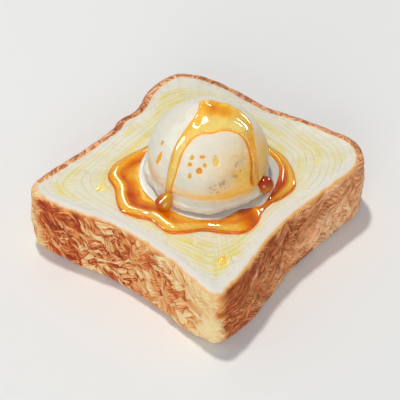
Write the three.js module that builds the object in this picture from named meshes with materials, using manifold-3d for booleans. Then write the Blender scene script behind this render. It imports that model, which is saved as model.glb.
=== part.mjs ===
// Honey toast: a thick slice of mountain loaf with its crust on, a scoop of vanilla ice cream standing
// in its own melt, and honey poured over the scoop and pooled round it.
// Millimetres, +Z up. The origin lies under the middle of the slice, on the face it rests on.
// +Y points to the crown of the loaf, +X runs across it.
import * as THREE from 'three';
import Module from 'manifold-3d';

const wasm = await Module();
wasm.setup();

// The slice of bread
const SLICE_WIDTH = 116.8; // across the loaf, over the ears
const SLICE_LENGTH = 125.8; // bottom crust to crown
const SLICE_THICKNESS = 33; // a thick cut, measured to the top of the crust's rim
const EDGE_X = -0.55; // the flared edge is moved by these to stand centred over the origin
const EDGE_Y = 0.15;
const EDGE_UNDER = 4; // rounding of the lower edge
const EDGE_OVER = 2.6; // rounding of the upper edge
const RIM_WIDTH = 4.5; // how far the crust's rim reaches in over the cut face
const CRUMB_DROP = 0.6; // the crumb lies this far below the rim
const SIDE_TUCK = 0.7; // the side is drawn in by this much at its lower and upper edges
const CRAG_DEPTH = 1.7; // the deepest furrow in the torn crust of the side
const CRAG_PROUD = 0.6; // the ridges between the furrows stand out past the edge by this much

// The scoop, about an upright line through its own middle
const SCOOP_X = 3.95;
const SCOOP_Y = -0.65;
const BALL_RADIUS = 27.6;
const BALL_HEIGHT = 9.8; // height of the ball's middle over the crumb
const BALL_DIMPLE = 0.25; // depth of the soft dents that the scoop leaves
const SKIRT_PROUD = 2.2; // how far the ragged skirt stands out of the ball
const SKIRT_CREASE = 0.5; // depth of the fold where the skirt leaves the ball
const SKIRT_TOP = 95; // degrees down from the top of the ball where the skirt begins
const SKIRT_LIFT = 1.4; // the skirt's lower lip hangs this far above the melt
const SKIRT_UNDERCUT = 1.2; // the melt meets the ball this far in under the skirt
const MELT_RADIUS = 31.9; // the thin ring of melt that the scoop stands in
const MELT_THICKNESS = 1.1;

// The honey
const POOL_THICKNESS = 2.6; // at its rolled outer rim
const POOL_FULL_WIDTH = 7; // where the pool is narrower than this it is thinner too
const RUN_THICKNESS = 1.9; // of the sheet and its two runs on the scoop
const BEAD_WIDTH = 8.2; // the large drop below each run
const GAP = 0.3; // between solids that touch
const SEAT = 0.1; // between the crumb and what lies on it

// How finely the surfaces are stepped
const SLICE_STEPS = 168;
const EDGE_ROWS = 3;
const SIDE_ROWS = 8;
const SCOOP_STEPS = 64;
const SKIRT_ROWS = 5;
const BALL_ROWS = 12;
const POOL_STEPS = 108;
const RUN_STEPS = 56;
const RUN_ROWS = 8;
const BEAD_SIDES = 14;
const DROP_SIDES = 8;

// Edge of the slice from above, in half widths and half lengths, anticlockwise from the front left corner:
// a front pinched inwards, the right waist, the crown's two humps, and three crags down the left waist.
const SLICE_EDGE = [
  [-0.82, -0.995], [-0.635, -0.985], [-0.37, -0.935], [-0.13, -0.88], [0.27, -0.87], [0.6, -0.905],
  [0.825, -0.945], [0.92, -0.95], [0.98, -0.905], [1.0, -0.81], [0.98, -0.585], [0.93, -0.305],
  [0.91, 0.01], [0.93, 0.29], [0.96, 0.57], [0.97, 0.755], [0.895, 0.905], [0.73, 0.995],
  [0.51, 0.985], [0.27, 0.955], [0.07, 0.92], [-0.05, 0.895], [-0.33, 0.905], [-0.59, 0.9],
  [-0.795, 0.86], [-0.95, 0.76], [-1.0, 0.57], [-0.975, 0.41], [-0.915, 0.26], [-0.9, 0.195],
  [-0.92, 0.035], [-0.895, -0.065], [-0.89, -0.205], [-0.895, -0.31], [-0.91, -0.53],
  [-0.935, -0.77], [-0.91, -0.925],
];

// How far the lower edge of the side stands out past the upper, as the loaf is pinched less on that face:
// share of the way round, and millimetres.
const SIDE_FLARE = [
  [0, 0.2], [0.06, 2.8], [0.09, 3.9], [0.19, 3.9], [0.228, 0.2], [0.24, 0.2], [0.285, 3.1], [0.32, 3.9],
  [0.37, 2.1], [0.45, 0.6], [0.52, 0], [0.96, 0], [1, 0.2],
];

// Furrows of the torn crust: times round the slice, turns of lean from bottom to top, phase, share of the depth.
const CRAG_WAVES = [[11, 0.45, 0.4, 0.45], [19, -0.7, 1.9, 0.35], [37, 1.3, 2.6, 0.2]];

// Where the skirt stands out most: degrees round, added share of its depth, spread in degrees.
const SKIRT_BULGE = [-50, 0.5, 18];

// Places where the edge of the melt moves out or in: degrees round, millimetres, and spread in degrees.
const MELT_LOBES = [[-88, -1.5, 14], [-22, -3, 9], [-4, 1.2, 7], [46, 1.2, 11], [66, -0.9, 9]];

// The melt's rounded lip, from the crumb up: millimetres out, and share of the melt's thickness.
const MELT_LIP = [[-0.5, 0], [0, 0.45], [-0.2, 0.8], [-0.9, 1]];

// Outer edge of the honey pool: degrees round the scoop, and millimetres out from its middle.
const POOL_EDGE = [
  [-173, 34.6], [-160, 38.3], [-148, 43.8], [-137, 46.1], [-126, 44], [-116, 45.7], [-107, 46.8],
  [-98, 43.8], [-90, 41], [-75, 43.3], [-65, 40.9], [-53, 38.2], [-41, 40.4], [-28, 42.8], [-17, 40],
  [-8, 36], [3, 35], [13, 38], [25, 41], [38, 39.9], [55, 37.7], [72, 34.8], [95, 35.8], [118, 37.8],
  [138, 38], [160, 35.6],
];

// Section of the pool from its inner edge over the rolled rim and back underneath: shares of width and thickness.
const POOL_SECTION = [
  [0, 0.25], [0.08, 0.5], [0.3, 0.62], [0.6, 0.85], [0.82, 1], [0.95, 0.85], [1, 0.4], [0.94, 0], [0.06, 0],
];

// The large drops: degrees round the scoop, millimetres out and height of the middle, then the half sizes as
// shares of the width: towards the scoop, along its foot, and upright. The left one stands on the pool's inner
// edge, the right one clings to the skirt.
const POOL_BEAD = { at: [-89.3, 31.8, 4.7], shape: [0.4, 0.5, 0.46] };
const SKIRT_BEAD = { at: [12, 28.8, 5.35], shape: [0.5, 0.5, 0.5] };

// The honey on the ball, from the foot of the left run over the top to the foot of the right run.
// Each row is the outer edge, then the inner: degrees round, degrees down from the top of the ball.
const RUN_EDGES = [
  [-92.5, 100, -88.5, 100], [-91.5, 84, -85, 82], [-93, 66, -83, 66], [-96, 46, -82, 47],
  [-98, 26, -76, 34], [-138, 9, -61, 27], [152, 18, -42, 26.5], [103, 17, -22, 26],
  [68, 27, -8, 29], [44, 39.5, 3, 37], [21, 49, 4.5, 46], [7.5, 63, -1.5, 62], [2, 77, -7, 76],
  [0.5, 85, -7.5, 84], [-1.8, 90, -5, 90],
];

// The right run thins over the last of its length, to this share of its thickness.
const RUN_TIP_FROM = 0.94;
const RUN_TIP_THICKNESS = 0.45;

// The thick knob at the top of the sheet: degrees round, degrees down, added thickness, spread in degrees.
const KNOB = [-165, 4, 2, 7.5];

// Small drops fused to the ball: degrees round, degrees down, width, length down the ball.
const BALL_DROPS = [[-110, 66, 2.2, 6.5], [-42, 52, 3, 5], [-60, 61, 3, 3], [-70, 50, 2.2, 3.2]];

// Small drops fused to the crumb: X, Y and width.
const CRUMB_DROPS = [[44, -39.5, 5], [-28.2, -39.2, 3.6]];

const TAU = Math.PI * 2;
const CRUMB_Z = SLICE_THICKNESS - CRUMB_DROP;
const rad = THREE.MathUtils.degToRad;
const smooth = THREE.MathUtils.smoothstep;
const lerp = THREE.MathUtils.lerp;

// A point at a turn in radians, a distance out and a height, about the upright axis.
function polar(turn, out, height) {
  return new THREE.Vector3(Math.cos(turn) * out, Math.sin(turn) * out, height);
}

// A direction from the middle of the ball, from degrees round and degrees down.
function direction(round, down) {
  return polar(rad(round), Math.sin(rad(down)), Math.cos(rad(down)));
}

// One closed ring of points: place is called with the turn of each.
function ringOf(steps, place) {
  return Array.from({ length: steps }, (_, i) => place((i / steps) * TAU));
}

// Skins closed rings of points into one closed surface. The rings run round into a loop, unless there are
// two poles: then each end is closed by its pole.
function skin(rings, firstPole, lastPole) {
  const n = rings[0].length;
  const points = rings.flat();
  const faces = [];
  const looped = !firstPole;
  const spans = looped ? rings.length : rings.length - 1;
  for (let i = 0; i < spans; i++) {
    const near = i * n;
    const far = ((i + 1) % rings.length) * n;
    for (let j = 0; j < n; j++) {
      const k = (j + 1) % n;
      faces.push(near + j, near + k, far + k, near + j, far + k, far + j);
    }
  }
  if (!looped) {
    const first = points.push(firstPole) - 1;
    const last = points.push(lastPole) - 1;
    const end = (rings.length - 1) * n;
    for (let j = 0; j < n; j++) {
      const k = (j + 1) % n;
      faces.push(first, k, j, end + j, end + k, last);
    }
  }
  const geometry = new THREE.BufferGeometry().setFromPoints(points);
  geometry.setIndex(faces);
  return geometry;
}

// A closed geometry as a solid that can be joined and cut.
function solidOf(geometry) {
  const vertProperties = Float32Array.from(geometry.attributes.position.array);
  const triVerts = Uint32Array.from(geometry.index.array);
  return new wasm.Manifold(new wasm.Mesh({ numProp: 3, vertProperties, triVerts }));
}

// A joined or cut solid as a geometry.
function geometryOf(solid) {
  const mesh = solid.getMesh();
  const geometry = new THREE.BufferGeometry();
  geometry.setAttribute('position', new THREE.BufferAttribute(mesh.vertProperties, 3));
  geometry.setIndex(new THREE.BufferAttribute(mesh.triVerts, 1));
  return geometry;
}

// A drop of honey: a ball of radius one that a matrix stretches and places.
function drop(place, sides) {
  const rows = sides / 2;
  const rings = [];
  for (let i = 1; i < rows; i++) {
    const down = Math.PI * (1 - i / rows);
    rings.push(ringOf(sides, (turn) => polar(turn, Math.sin(down), Math.cos(down))));
  }
  const ball = skin(rings, new THREE.Vector3(0, 0, -1), new THREE.Vector3(0, 0, 1));
  return solidOf(ball.applyMatrix4(place));
}

// A body with drops fused to it.
function withDrops(geometry, places, sides) {
  let body = solidOf(geometry);
  for (const place of places) {
    body = body.add(drop(place, sides));
  }
  return geometryOf(body);
}

// A value read off a list of stops, each a place and its value, going smoothly from one to the next.
function between(stops, place) {
  const next = stops.findIndex(([at]) => at > place);
  const [from, low] = stops[next - 1];
  const [to, high] = stops[next];
  return lerp(low, high, smooth(place, from, to));
}

// Height of a soft bump at a turn round the scoop: one at its centre, falling away over its spread.
function bumpAt(turn, centre, spread) {
  return Math.exp((Math.cos(turn - rad(centre)) - 1) / rad(spread) ** 2);
}

// Depth of the torn furrows in the side of the crust, from 0 to 1. They lean as they climb.
function crags(round, up) {
  let depth = 0;
  for (const [turns, lean, phase, share] of CRAG_WAVES) {
    depth += share * (1 - Math.abs(Math.sin(TAU * (turns * round + lean * up) + phase))) ** 2;
  }
  return depth;
}

// The slice: rings from the middle of the bottom, up the side and in over the rim to under the scoop.
function slice() {
  const corners = SLICE_EDGE.map(
    ([x, y]) => new THREE.Vector3((x * SLICE_WIDTH) / 2 + EDGE_X, (y * SLICE_LENGTH) / 2 + EDGE_Y, 0),
  );
  const edge = new THREE.CatmullRomCurve3(corners, true, 'centripetal');
  const stations = Array.from({ length: SLICE_STEPS }, (_, i) => {
    const round = i / SLICE_STEPS;
    const tangent = edge.getTangentAt(round);
    const inwards = new THREE.Vector3(-tangent.y, tangent.x, 0);
    return { round, inwards, at: edge.getPointAt(round), flare: between(SIDE_FLARE, round) };
  });
  const rings = [];
  const addRing = (inset, z) => {
    const up = z / SLICE_THICKNESS;
    const middle = Math.sin(Math.PI * up);
    const tuck = SIDE_TUCK * (1 - middle);
    rings.push(
      stations.map(({ round, inwards, at, flare }) => {
        const furrow = Math.sqrt(middle) * (CRAG_DEPTH * crags(round, up) - CRAG_PROUD);
        return at.clone().addScaledVector(inwards, inset + tuck + furrow - flare * (1 - up)).setZ(z);
      }),
    );
  };
  for (let i = 0; i <= EDGE_ROWS; i++) {
    const turn = ((i / EDGE_ROWS) * Math.PI) / 2;
    addRing(EDGE_UNDER * (1 - Math.sin(turn)), EDGE_UNDER * (1 - Math.cos(turn)));
  }
  for (let i = 1; i < SIDE_ROWS; i++) {
    addRing(0, lerp(EDGE_UNDER, SLICE_THICKNESS - EDGE_OVER, i / SIDE_ROWS));
  }
  for (let i = 0; i <= EDGE_ROWS; i++) {
    const turn = ((i / EDGE_ROWS) * Math.PI) / 2;
    addRing(EDGE_OVER * (1 - Math.cos(turn)), SLICE_THICKNESS - EDGE_OVER * (1 - Math.sin(turn)));
  }
  addRing(RIM_WIDTH, CRUMB_Z);
  const underScoop = new THREE.Vector3(SCOOP_X, SCOOP_Y, CRUMB_Z);
  const rim = rings[rings.length - 1];
  for (const share of [0.25, 0.6]) {
    rings.push(rim.map((point) => point.clone().lerp(underScoop, share)));
  }
  const bread = skin(rings, new THREE.Vector3(0, 0, 0), underScoop);
  const places = CRUMB_DROPS.map(([x, y, width]) =>
    new THREE.Matrix4().makeScale(width / 2, width / 2, width / 4).setPosition(x, y, CRUMB_Z + width / 12),
  );
  return withDrops(bread, places, DROP_SIDES);
}

// How far out the melt reaches at a turn round the scoop.
function meltReach(turn) {
  let reach = MELT_RADIUS;
  for (const [centre, change, spread] of MELT_LOBES) {
    reach += change * bumpAt(turn, centre, spread);
  }
  return reach;
}

// Distance of the ice cream's surface from the middle of the ball, at a turn and an angle down.
function creamRadius(turn, down) {
  const past = THREE.MathUtils.radToDeg(down) - SKIRT_TOP;
  const broad = Math.sin(3 * turn + 0.8) * Math.sin(4 * down);
  const small = Math.sin(7 * turn - 3 * down);
  const [bulgeRound, bulgeShare, bulgeSpread] = SKIRT_BULGE;
  const bulge = bulgeShare * bumpAt(turn, bulgeRound, bulgeSpread);
  const rag = 0.6 + 0.25 * Math.sin(5 * turn + 1.1) + 0.15 * Math.sin(13 * turn + 0.3) + bulge;
  const dimple = BALL_DIMPLE * (broad + 0.6 * small) * Math.sin(down);
  const skirt = SKIRT_PROUD * rag * smooth(past, 0, 5);
  const crease = SKIRT_CREASE * Math.exp(-((past / 4) ** 2));
  return BALL_RADIUS + dimple + skirt - crease;
}

// A point on the ice cream, moved out from its surface by a distance.
function onCream(turn, down, out = 0) {
  const radius = creamRadius(turn, down) + out;
  return polar(turn, radius * Math.sin(down), BALL_HEIGHT + radius * Math.cos(down));
}

// The scoop: the melt's lip, the fold under the skirt, the skirt and the ball, with drops of honey fused to it.
function scoop() {
  const rings = MELT_LIP.map(([out, share]) =>
    ringOf(SCOOP_STEPS, (turn) => polar(turn, meltReach(turn) + out, share * MELT_THICKNESS)),
  );
  const foot = Math.acos((MELT_THICKNESS + SKIRT_LIFT - BALL_HEIGHT) / BALL_RADIUS);
  const foldRadius = BALL_RADIUS * Math.sin(foot) - SKIRT_UNDERCUT;
  rings.push(ringOf(SCOOP_STEPS, (turn) => polar(turn, foldRadius, MELT_THICKNESS + SEAT)));
  const shoulder = rad(SKIRT_TOP - 4);
  for (let i = 0; i < SKIRT_ROWS; i++) {
    rings.push(ringOf(SCOOP_STEPS, (turn) => onCream(turn, lerp(foot, shoulder, i / SKIRT_ROWS))));
  }
  for (let i = 0; i < BALL_ROWS; i++) {
    rings.push(ringOf(SCOOP_STEPS, (turn) => onCream(turn, lerp(shoulder, 0, i / BALL_ROWS))));
  }
  const cream = skin(rings, new THREE.Vector3(0, 0, 0), onCream(0, 0));
  const smallPlaces = BALL_DROPS.map(([round, down, width, length]) => {
    const place = new THREE.Matrix4().makeRotationZ(rad(round));
    place.multiply(new THREE.Matrix4().makeRotationY(rad(down)));
    place.multiply(new THREE.Matrix4().makeScale(length / 2, width / 2, width / 3));
    return place.setPosition(onCream(rad(round), rad(down)));
  });
  return withDrops(withDrops(cream, smallPlaces, DROP_SIDES), [beadPlace(SKIRT_BEAD)], BEAD_SIDES);
}

// Places a large drop, grown by a margin.
function beadPlace({ at: [round, out, height], shape }, margin = 0) {
  const place = new THREE.Matrix4().makeRotationZ(rad(round));
  const halves = shape.map((share) => BEAD_WIDTH * share + margin);
  place.multiply(new THREE.Matrix4().makeScale(...halves));
  return place.setPosition(polar(rad(round), out, height));
}

// The pool: a closed lobed ring with a rolled outer rim, and the large drop that stands on its inner edge.
function pool() {
  const corners = POOL_EDGE.map(([round, out]) => polar(rad(round), out, 0));
  const edge = new THREE.CatmullRomCurve3(corners, true, 'centripetal');
  const sections = Array.from({ length: POOL_STEPS }, (_, i) => {
    const point = edge.getPointAt(i / POOL_STEPS);
    const turn = Math.atan2(point.y, point.x);
    const inner = meltReach(turn) + GAP;
    const outer = point.length();
    const thickness = POOL_THICKNESS * smooth(outer - inner, -POOL_FULL_WIDTH / 4, POOL_FULL_WIDTH);
    return POOL_SECTION.map(([across, high]) => polar(turn, lerp(inner, outer, across), high * thickness));
  });
  return withDrops(skin(sections), [beadPlace(POOL_BEAD)], BEAD_SIDES);
}

// The honey on the scoop: a sheet over the top that narrows into a run at each end. The left run stops
// short of the drop at its foot.
function drape() {
  const edgeThrough = (rows) => new THREE.CatmullRomCurve3(rows, false, 'centripetal');
  const outer = edgeThrough(RUN_EDGES.map(([round, down]) => direction(round, down)));
  const inner = edgeThrough(RUN_EDGES.map(([, , round, down]) => direction(round, down)));
  const [knobRound, knobDown, knobThickness, knobSpread] = KNOB;
  const knob = direction(knobRound, knobDown);
  const place = (towards, swell) => {
    const off = towards.angleTo(knob) / rad(knobSpread);
    const thickness = RUN_THICKNESS + knobThickness * Math.exp(-(off ** 2));
    const turn = Math.atan2(towards.y, towards.x);
    return onCream(turn, Math.acos(towards.z / towards.length()), GAP + swell * thickness);
  };
  const rings = [];
  for (let i = 0; i <= RUN_STEPS; i++) {
    const along = i / RUN_STEPS;
    const from = outer.getPoint(along);
    const to = inner.getPoint(along);
    const taper = lerp(1, RUN_TIP_THICKNESS, smooth(along, RUN_TIP_FROM, 1));
    const over = Array.from({ length: RUN_ROWS + 1 }, (_, k) => {
      const across = (1 - Math.cos((Math.PI * k) / RUN_ROWS)) / 2;
      const swell = Math.sqrt(Math.max(0, 1 - (2 * across - 1) ** 4));
      return place(from.clone().lerp(to, across), swell * taper);
    });
    const under = [0.75, 0.5, 0.25].map((across) => place(from.clone().lerp(to, across), 0));
    rings.push([...over, ...under]);
  }
  const middleOf = (ring) => ring[RUN_ROWS / 2].clone().lerp(ring[RUN_ROWS + 2], 0.5);
  const honey = solidOf(skin(rings, middleOf(rings[0]), middleOf(rings[RUN_STEPS])));
  return geometryOf(honey.subtract(drop(beadPlace(POOL_BEAD, GAP), BEAD_SIDES)));
}

// A named mesh of the part.
function piece(name, geometry, color, roughness) {
  geometry.computeVertexNormals();
  const material = new THREE.MeshStandardMaterial({ color, roughness, metalness: 0 });
  const mesh = new THREE.Mesh(geometry, material);
  mesh.name = name;
  return mesh;
}

const onCrumb = new THREE.Group();
onCrumb.position.set(SCOOP_X, SCOOP_Y, CRUMB_Z + SEAT);
onCrumb.add(
  piece('ice_cream', scoop(), 0xf3ead6, 0.55),
  piece('honey_pool', pool(), 0xe0900f, 0.12),
  piece('honey_drape', drape(), 0xe0900f, 0.12),
);

const honeyToast = new THREE.Group();
honeyToast.add(piece('toast', slice(), 0xc98a4e, 0.85), onCrumb);

export default honeyToast;
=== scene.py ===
# %% [markdown]
# Honey toast, from bare solids to something that looks good enough to eat. The frame that is loaded here
# holds the plain solids: a slice of bread, a scoop and two bodies of honey. They are right in size and
# place, but far too smooth. Every cell below makes one of them again as a fine surface and gives it a
# finish. The solids stay in the file, hidden, as the shape that the looks must keep to.

# %% Load the frame
import math

import bpy
import numpy as np
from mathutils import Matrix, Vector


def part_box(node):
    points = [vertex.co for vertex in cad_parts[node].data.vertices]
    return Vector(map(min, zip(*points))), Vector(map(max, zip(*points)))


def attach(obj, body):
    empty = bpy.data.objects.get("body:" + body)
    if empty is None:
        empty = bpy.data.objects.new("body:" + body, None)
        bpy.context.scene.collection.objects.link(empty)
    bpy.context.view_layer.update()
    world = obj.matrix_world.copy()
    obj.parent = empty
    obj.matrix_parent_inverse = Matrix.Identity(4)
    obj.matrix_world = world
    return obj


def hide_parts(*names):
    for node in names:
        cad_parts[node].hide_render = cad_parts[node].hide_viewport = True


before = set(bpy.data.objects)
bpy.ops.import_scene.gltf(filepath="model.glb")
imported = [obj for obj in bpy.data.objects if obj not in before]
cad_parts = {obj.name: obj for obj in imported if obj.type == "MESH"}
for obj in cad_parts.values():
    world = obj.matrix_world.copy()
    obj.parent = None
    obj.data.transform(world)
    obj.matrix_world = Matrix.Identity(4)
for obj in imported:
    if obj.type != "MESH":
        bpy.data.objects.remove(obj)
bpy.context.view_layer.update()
MM = 0.001
print("solids:", sorted(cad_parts))

# %% [markdown]
# The driving sizes, in millimetres. They are the sizes of the solids, repeated, so that each fine surface
# lies where its solid lies. Angles round the scoop are in degrees, anticlockwise from above, from the right
# (+X).

# %% Sizes of the slice, the scoop and the honey
SLICE_WIDTH = 116.8
SLICE_LENGTH = 125.8
SLICE_THICKNESS = 33.0
EDGE_X = -0.55
EDGE_Y = 0.15
EDGE_UNDER = 4.0
EDGE_OVER = 2.6
RIM_WIDTH = 4.5
CRUMB_DROP = 0.6
SIDE_TUCK = 0.7
CRAG_DEPTH = 1.7
CRAG_PROUD = 0.6
CRUMB_Z = SLICE_THICKNESS - CRUMB_DROP
SCOOP_X = 3.95
SCOOP_Y = -0.65
BALL_RADIUS = 27.6
BALL_HEIGHT = 9.8
BALL_DIMPLE = 0.25
SKIRT_PROUD = 2.2
SKIRT_CREASE = 0.5
SKIRT_TOP = 95.0
SKIRT_LIFT = 1.4
SKIRT_UNDERCUT = 1.2
MELT_RADIUS = 31.9
MELT_THICKNESS = 1.1
POOL_THICKNESS = 2.6
POOL_FULL_WIDTH = 7.0
RUN_THICKNESS = 1.9
BEAD_WIDTH = 8.2
SEAT = 0.1
TAU = 2 * math.pi
slice_low, slice_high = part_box("toast")
print("slice solid, mm:", [round((h - l) / MM, 1) for l, h in zip(slice_low, slice_high)])

# %% [markdown]
# An edge is easiest to give as a few points with a smooth curve through them. The curve used here is the
# centripetal Catmull-Rom spline: it passes through every point and never loops between two close ones. It is
# worked out for all spans at once, as arrays, and then stepped evenly along its length.

# %% Curves through points


def smoothstep(value, low, high):
    """0 below low, 1 above high, and 3t^2 - 2t^3 between them."""
    t = np.clip((value - low) / (high - low), 0, 1)
    return t * t * (3 - 2 * t)


def smooth_stops(stops, place):
    """The value at each place of a list of (place, value) stops, with a smoothstep from each stop to the
    next."""
    at, value = np.array(stops, float).T
    span = np.clip(np.searchsorted(at, place, side="right") - 1, 0, len(at) - 2)
    return value[span] + (value[span + 1] - value[span]) * smoothstep(place, at[span], at[span + 1])


def curve_through(points, closed, per_span=40):
    """Centripetal Catmull-Rom curve: on each span a cubic whose end slopes come from the neighbouring points,
    with each span's time being the square root of its length."""
    points = np.asarray(points, float)
    if closed:
        before, after = np.roll(points, 1, 0), np.roll(points, -1, 0)
        far = np.roll(points, -2, 0)
    else:
        first = 2 * points[:1] - points[1:2]
        last = 2 * points[-1:] - points[-2:-1]
        padded = np.vstack([first, points, last])
        before, points, after, far = padded[:-3], padded[1:-2], padded[2:-1], padded[3:]
    t0, t1, t2 = (
        np.maximum(np.linalg.norm(b - a, axis=1, keepdims=True), 1e-9) ** 0.5
        for a, b in ((before, points), (points, after), (after, far))
    )
    leave = ((points - before) / t0 - (after - before) / (t0 + t1) + (after - points) / t1) * t1
    arrive = ((after - points) / t1 - (far - points) / (t1 + t2) + (far - after) / t2) * t1
    t = (np.arange(per_span) / per_span)[None, :, None]
    p, q, m, n = (a[:, None, :] for a in (points, after, leave, arrive))
    cubic = (
        p * (2 * t**3 - 3 * t**2 + 1)
        + m * (t**3 - 2 * t**2 + t)
        + q * (3 * t**2 - 2 * t**3)
        + n * (t**3 - t**2)
    )
    curve = cubic.reshape(-1, points.shape[1])
    return curve if closed else np.vstack([curve, after[-1:]])


def even_steps(curve, steps, closed):
    """The same curve stepped evenly along its length."""
    track = np.vstack([curve, curve[:1]]) if closed else curve
    length = np.concatenate([[0], np.cumsum(np.linalg.norm(np.diff(track, axis=0), axis=1))])
    at = np.linspace(0, length[-1], steps, endpoint=not closed)
    return np.stack([np.interp(at, length, track[:, k]) for k in range(track.shape[1])], 1), length[-1]


print("curve helper ready")

# %% [markdown]
# Food is never even, so every surface is disturbed by noise. Blender has noise textures, but they act on the
# shading. To move real vertices the same idea is written in numpy: random values on the corners of a lattice,
# blended smoothly inside each cell. One axis can repeat, so that a pattern closes round the slice.

# %% Noise that moves vertices
HASH_PRIMES = (668265263, 2246822519, 3266489917)
HASH_START, HASH_MIX = 374761393, 2654435761
LOW_BITS, LOWEST_BITS = 0xFFFFFFFF, 0xFFFF


def chance(cells, seed):
    """A fixed random number from 0 to 1 for each cell of whole numbers: its bits multiplied and folded."""
    folded = np.full(cells.shape[:-1], seed * HASH_START, np.int64)
    for axis in range(cells.shape[-1]):
        folded = (folded ^ (cells[..., axis] * HASH_PRIMES[axis])) & LOW_BITS
        folded = ((folded ^ (folded >> 15)) * HASH_MIX) & LOW_BITS
    return ((folded ^ (folded >> 13)) & LOWEST_BITS) / LOWEST_BITS


def lattice_noise(points, seed, period=None):
    """Values between -1 and 1: chance at each lattice corner, blended with the fade 6t^5 - 15t^4 + 10t^3.
    With a period, the first axis repeats after that many cells."""
    cell = np.floor(points).astype(np.int64)
    inside = points - cell
    fade = inside**3 * (inside * (inside * 6 - 15) + 10)
    total = np.zeros(points.shape[:-1])
    for corner in np.ndindex(*(2,) * points.shape[-1]):
        key = cell + np.array(corner)
        if period:
            key[..., 0] %= period
        weight = np.prod(np.where(np.array(corner) == 1, fade, 1 - fade), axis=-1)
        total += weight * (2 * chance(key, seed) - 1)
    return total


def layered_noise(points, seed, layers=4):
    """Sum of noise at doubling scales and halving strengths."""
    return sum(lattice_noise(points * 2**k, seed + k) / 2**k for k in range(layers))


print("noise sample:", round(float(lattice_noise(np.array([[0.3, 1.7, 2.2]]), 1)[0]), 3))

# %% [markdown]
# Every piece is a skin over rings of points. The points are a grid, so the faces are one array expression:
# each quad joins two neighbours on one ring to the same two on the next. A ring stack is closed by a point at
# each end, or runs round into itself.

# %% From grid to mesh


def skin(rings, poles=None):
    """Vertices and faces over rings, an array of (rings, around, 3), closed by two poles or looped."""
    count, around, _ = rings.shape
    spans = count - 1 if poles is not None else count
    near = np.arange(spans)[:, None] * around
    far = (np.arange(1, spans + 1) % count)[:, None] * around
    here = np.arange(around)[None, :]
    after = (here + 1) % around
    corners = np.broadcast_arrays(near + here, near + after, far + after, far + here)
    quads = np.stack(corners, -1).reshape(-1, 4)
    vertices = rings.reshape(-1, 3)
    if poles is None:
        return vertices, quads, np.zeros((0, 3), int)
    first, last = len(vertices), len(vertices) + 1
    end = (count - 1) * around
    here, after = here[0], after[0]
    triangles = np.vstack(
        [
            np.stack([np.full(around, first), after, here], 1),
            np.stack([end + here, end + after, np.full(around, last)], 1),
        ]
    )
    return np.vstack([vertices, poles]), quads, triangles


def new_piece(name, vertices, quads, triangles, marks=None):
    """A smooth-shaded mesh object from arrays in millimetres, with named numbers stored on its points."""
    mesh = bpy.data.meshes.new(name)
    mesh.vertices.add(len(vertices))
    mesh.vertices.foreach_set("co", (vertices * MM).astype(np.float32).ravel())
    corners = np.concatenate([quads.ravel(), triangles.ravel()]).astype(np.int32)
    sizes = np.concatenate([np.full(len(quads), 4), np.full(len(triangles), 3)])
    mesh.loops.add(len(corners))
    mesh.loops.foreach_set("vertex_index", corners)
    mesh.polygons.add(len(sizes))
    mesh.polygons.foreach_set("loop_start", (np.cumsum(sizes) - sizes).astype(np.int32))
    mesh.polygons.foreach_set("use_smooth", np.ones(len(sizes), bool))
    mesh.update(calc_edges=True)
    mesh.validate()
    mark_points(mesh, marks or {})
    piece = bpy.data.objects.new(name, mesh)
    bpy.context.scene.collection.objects.link(piece)
    print(f"{name}: {len(vertices)} points, {len(quads) * 2 + len(triangles)} triangles")
    return piece


def mark_points(mesh, marks):
    """Stores each array of numbers, or of triples, as an attribute of the mesh's points."""
    for title, values in marks.items():
        values = np.asarray(values, np.float32)
        kind, field = ("FLOAT", "value") if values.ndim == 1 else ("FLOAT_VECTOR", "vector")
        layer = mesh.attributes.new(title, kind, "POINT")
        layer.data.foreach_set(field, values.ravel())


print("mesh helpers ready")

# %% [markdown]
# The slice. Its edge, seen from above, is the outline of a mountain loaf: two humps at the crown, ears over
# a pinched waist, and crags down the left. The skin runs from the middle of the underside out, up the side,
# over the crust's rim and in across the crumb to a point that the scoop hides. A box with a bevel would be
# quicker, but rows that follow the edge let the swirl of the crumb and the tears of the crust follow it
# too.

# %% The edge of the slice
SLICE_EDGE = [
    (-0.82, -0.995), (-0.635, -0.985), (-0.37, -0.935), (-0.13, -0.88), (0.27, -0.87), (0.6, -0.905),
    (0.825, -0.945), (0.92, -0.95), (0.98, -0.905), (1.0, -0.81), (0.98, -0.585), (0.93, -0.305),
    (0.91, 0.01), (0.93, 0.29), (0.96, 0.57), (0.97, 0.755), (0.895, 0.905), (0.73, 0.995),
    (0.51, 0.985), (0.27, 0.955), (0.07, 0.92), (-0.05, 0.895), (-0.33, 0.905), (-0.59, 0.9),
    (-0.795, 0.86), (-0.95, 0.76), (-1.0, 0.57), (-0.975, 0.41), (-0.915, 0.26), (-0.9, 0.195),
    (-0.92, 0.035), (-0.895, -0.065), (-0.89, -0.205), (-0.895, -0.31), (-0.91, -0.53),
    (-0.935, -0.77), (-0.91, -0.925),
]
SLICE_STEPS = 900
edge_points = np.array(SLICE_EDGE) * [SLICE_WIDTH / 2, SLICE_LENGTH / 2] + [EDGE_X, EDGE_Y]
edge, edge_length = even_steps(curve_through(edge_points, closed=True), SLICE_STEPS, closed=True)
along = np.roll(edge, -1, 0) - np.roll(edge, 1, 0)
along /= np.linalg.norm(along, axis=1, keepdims=True)
inwards = np.stack([-along[:, 1], along[:, 0]], 1)
round_share = np.arange(SLICE_STEPS) / SLICE_STEPS
print("once round the slice, mm:", round(edge_length, 1))

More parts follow.
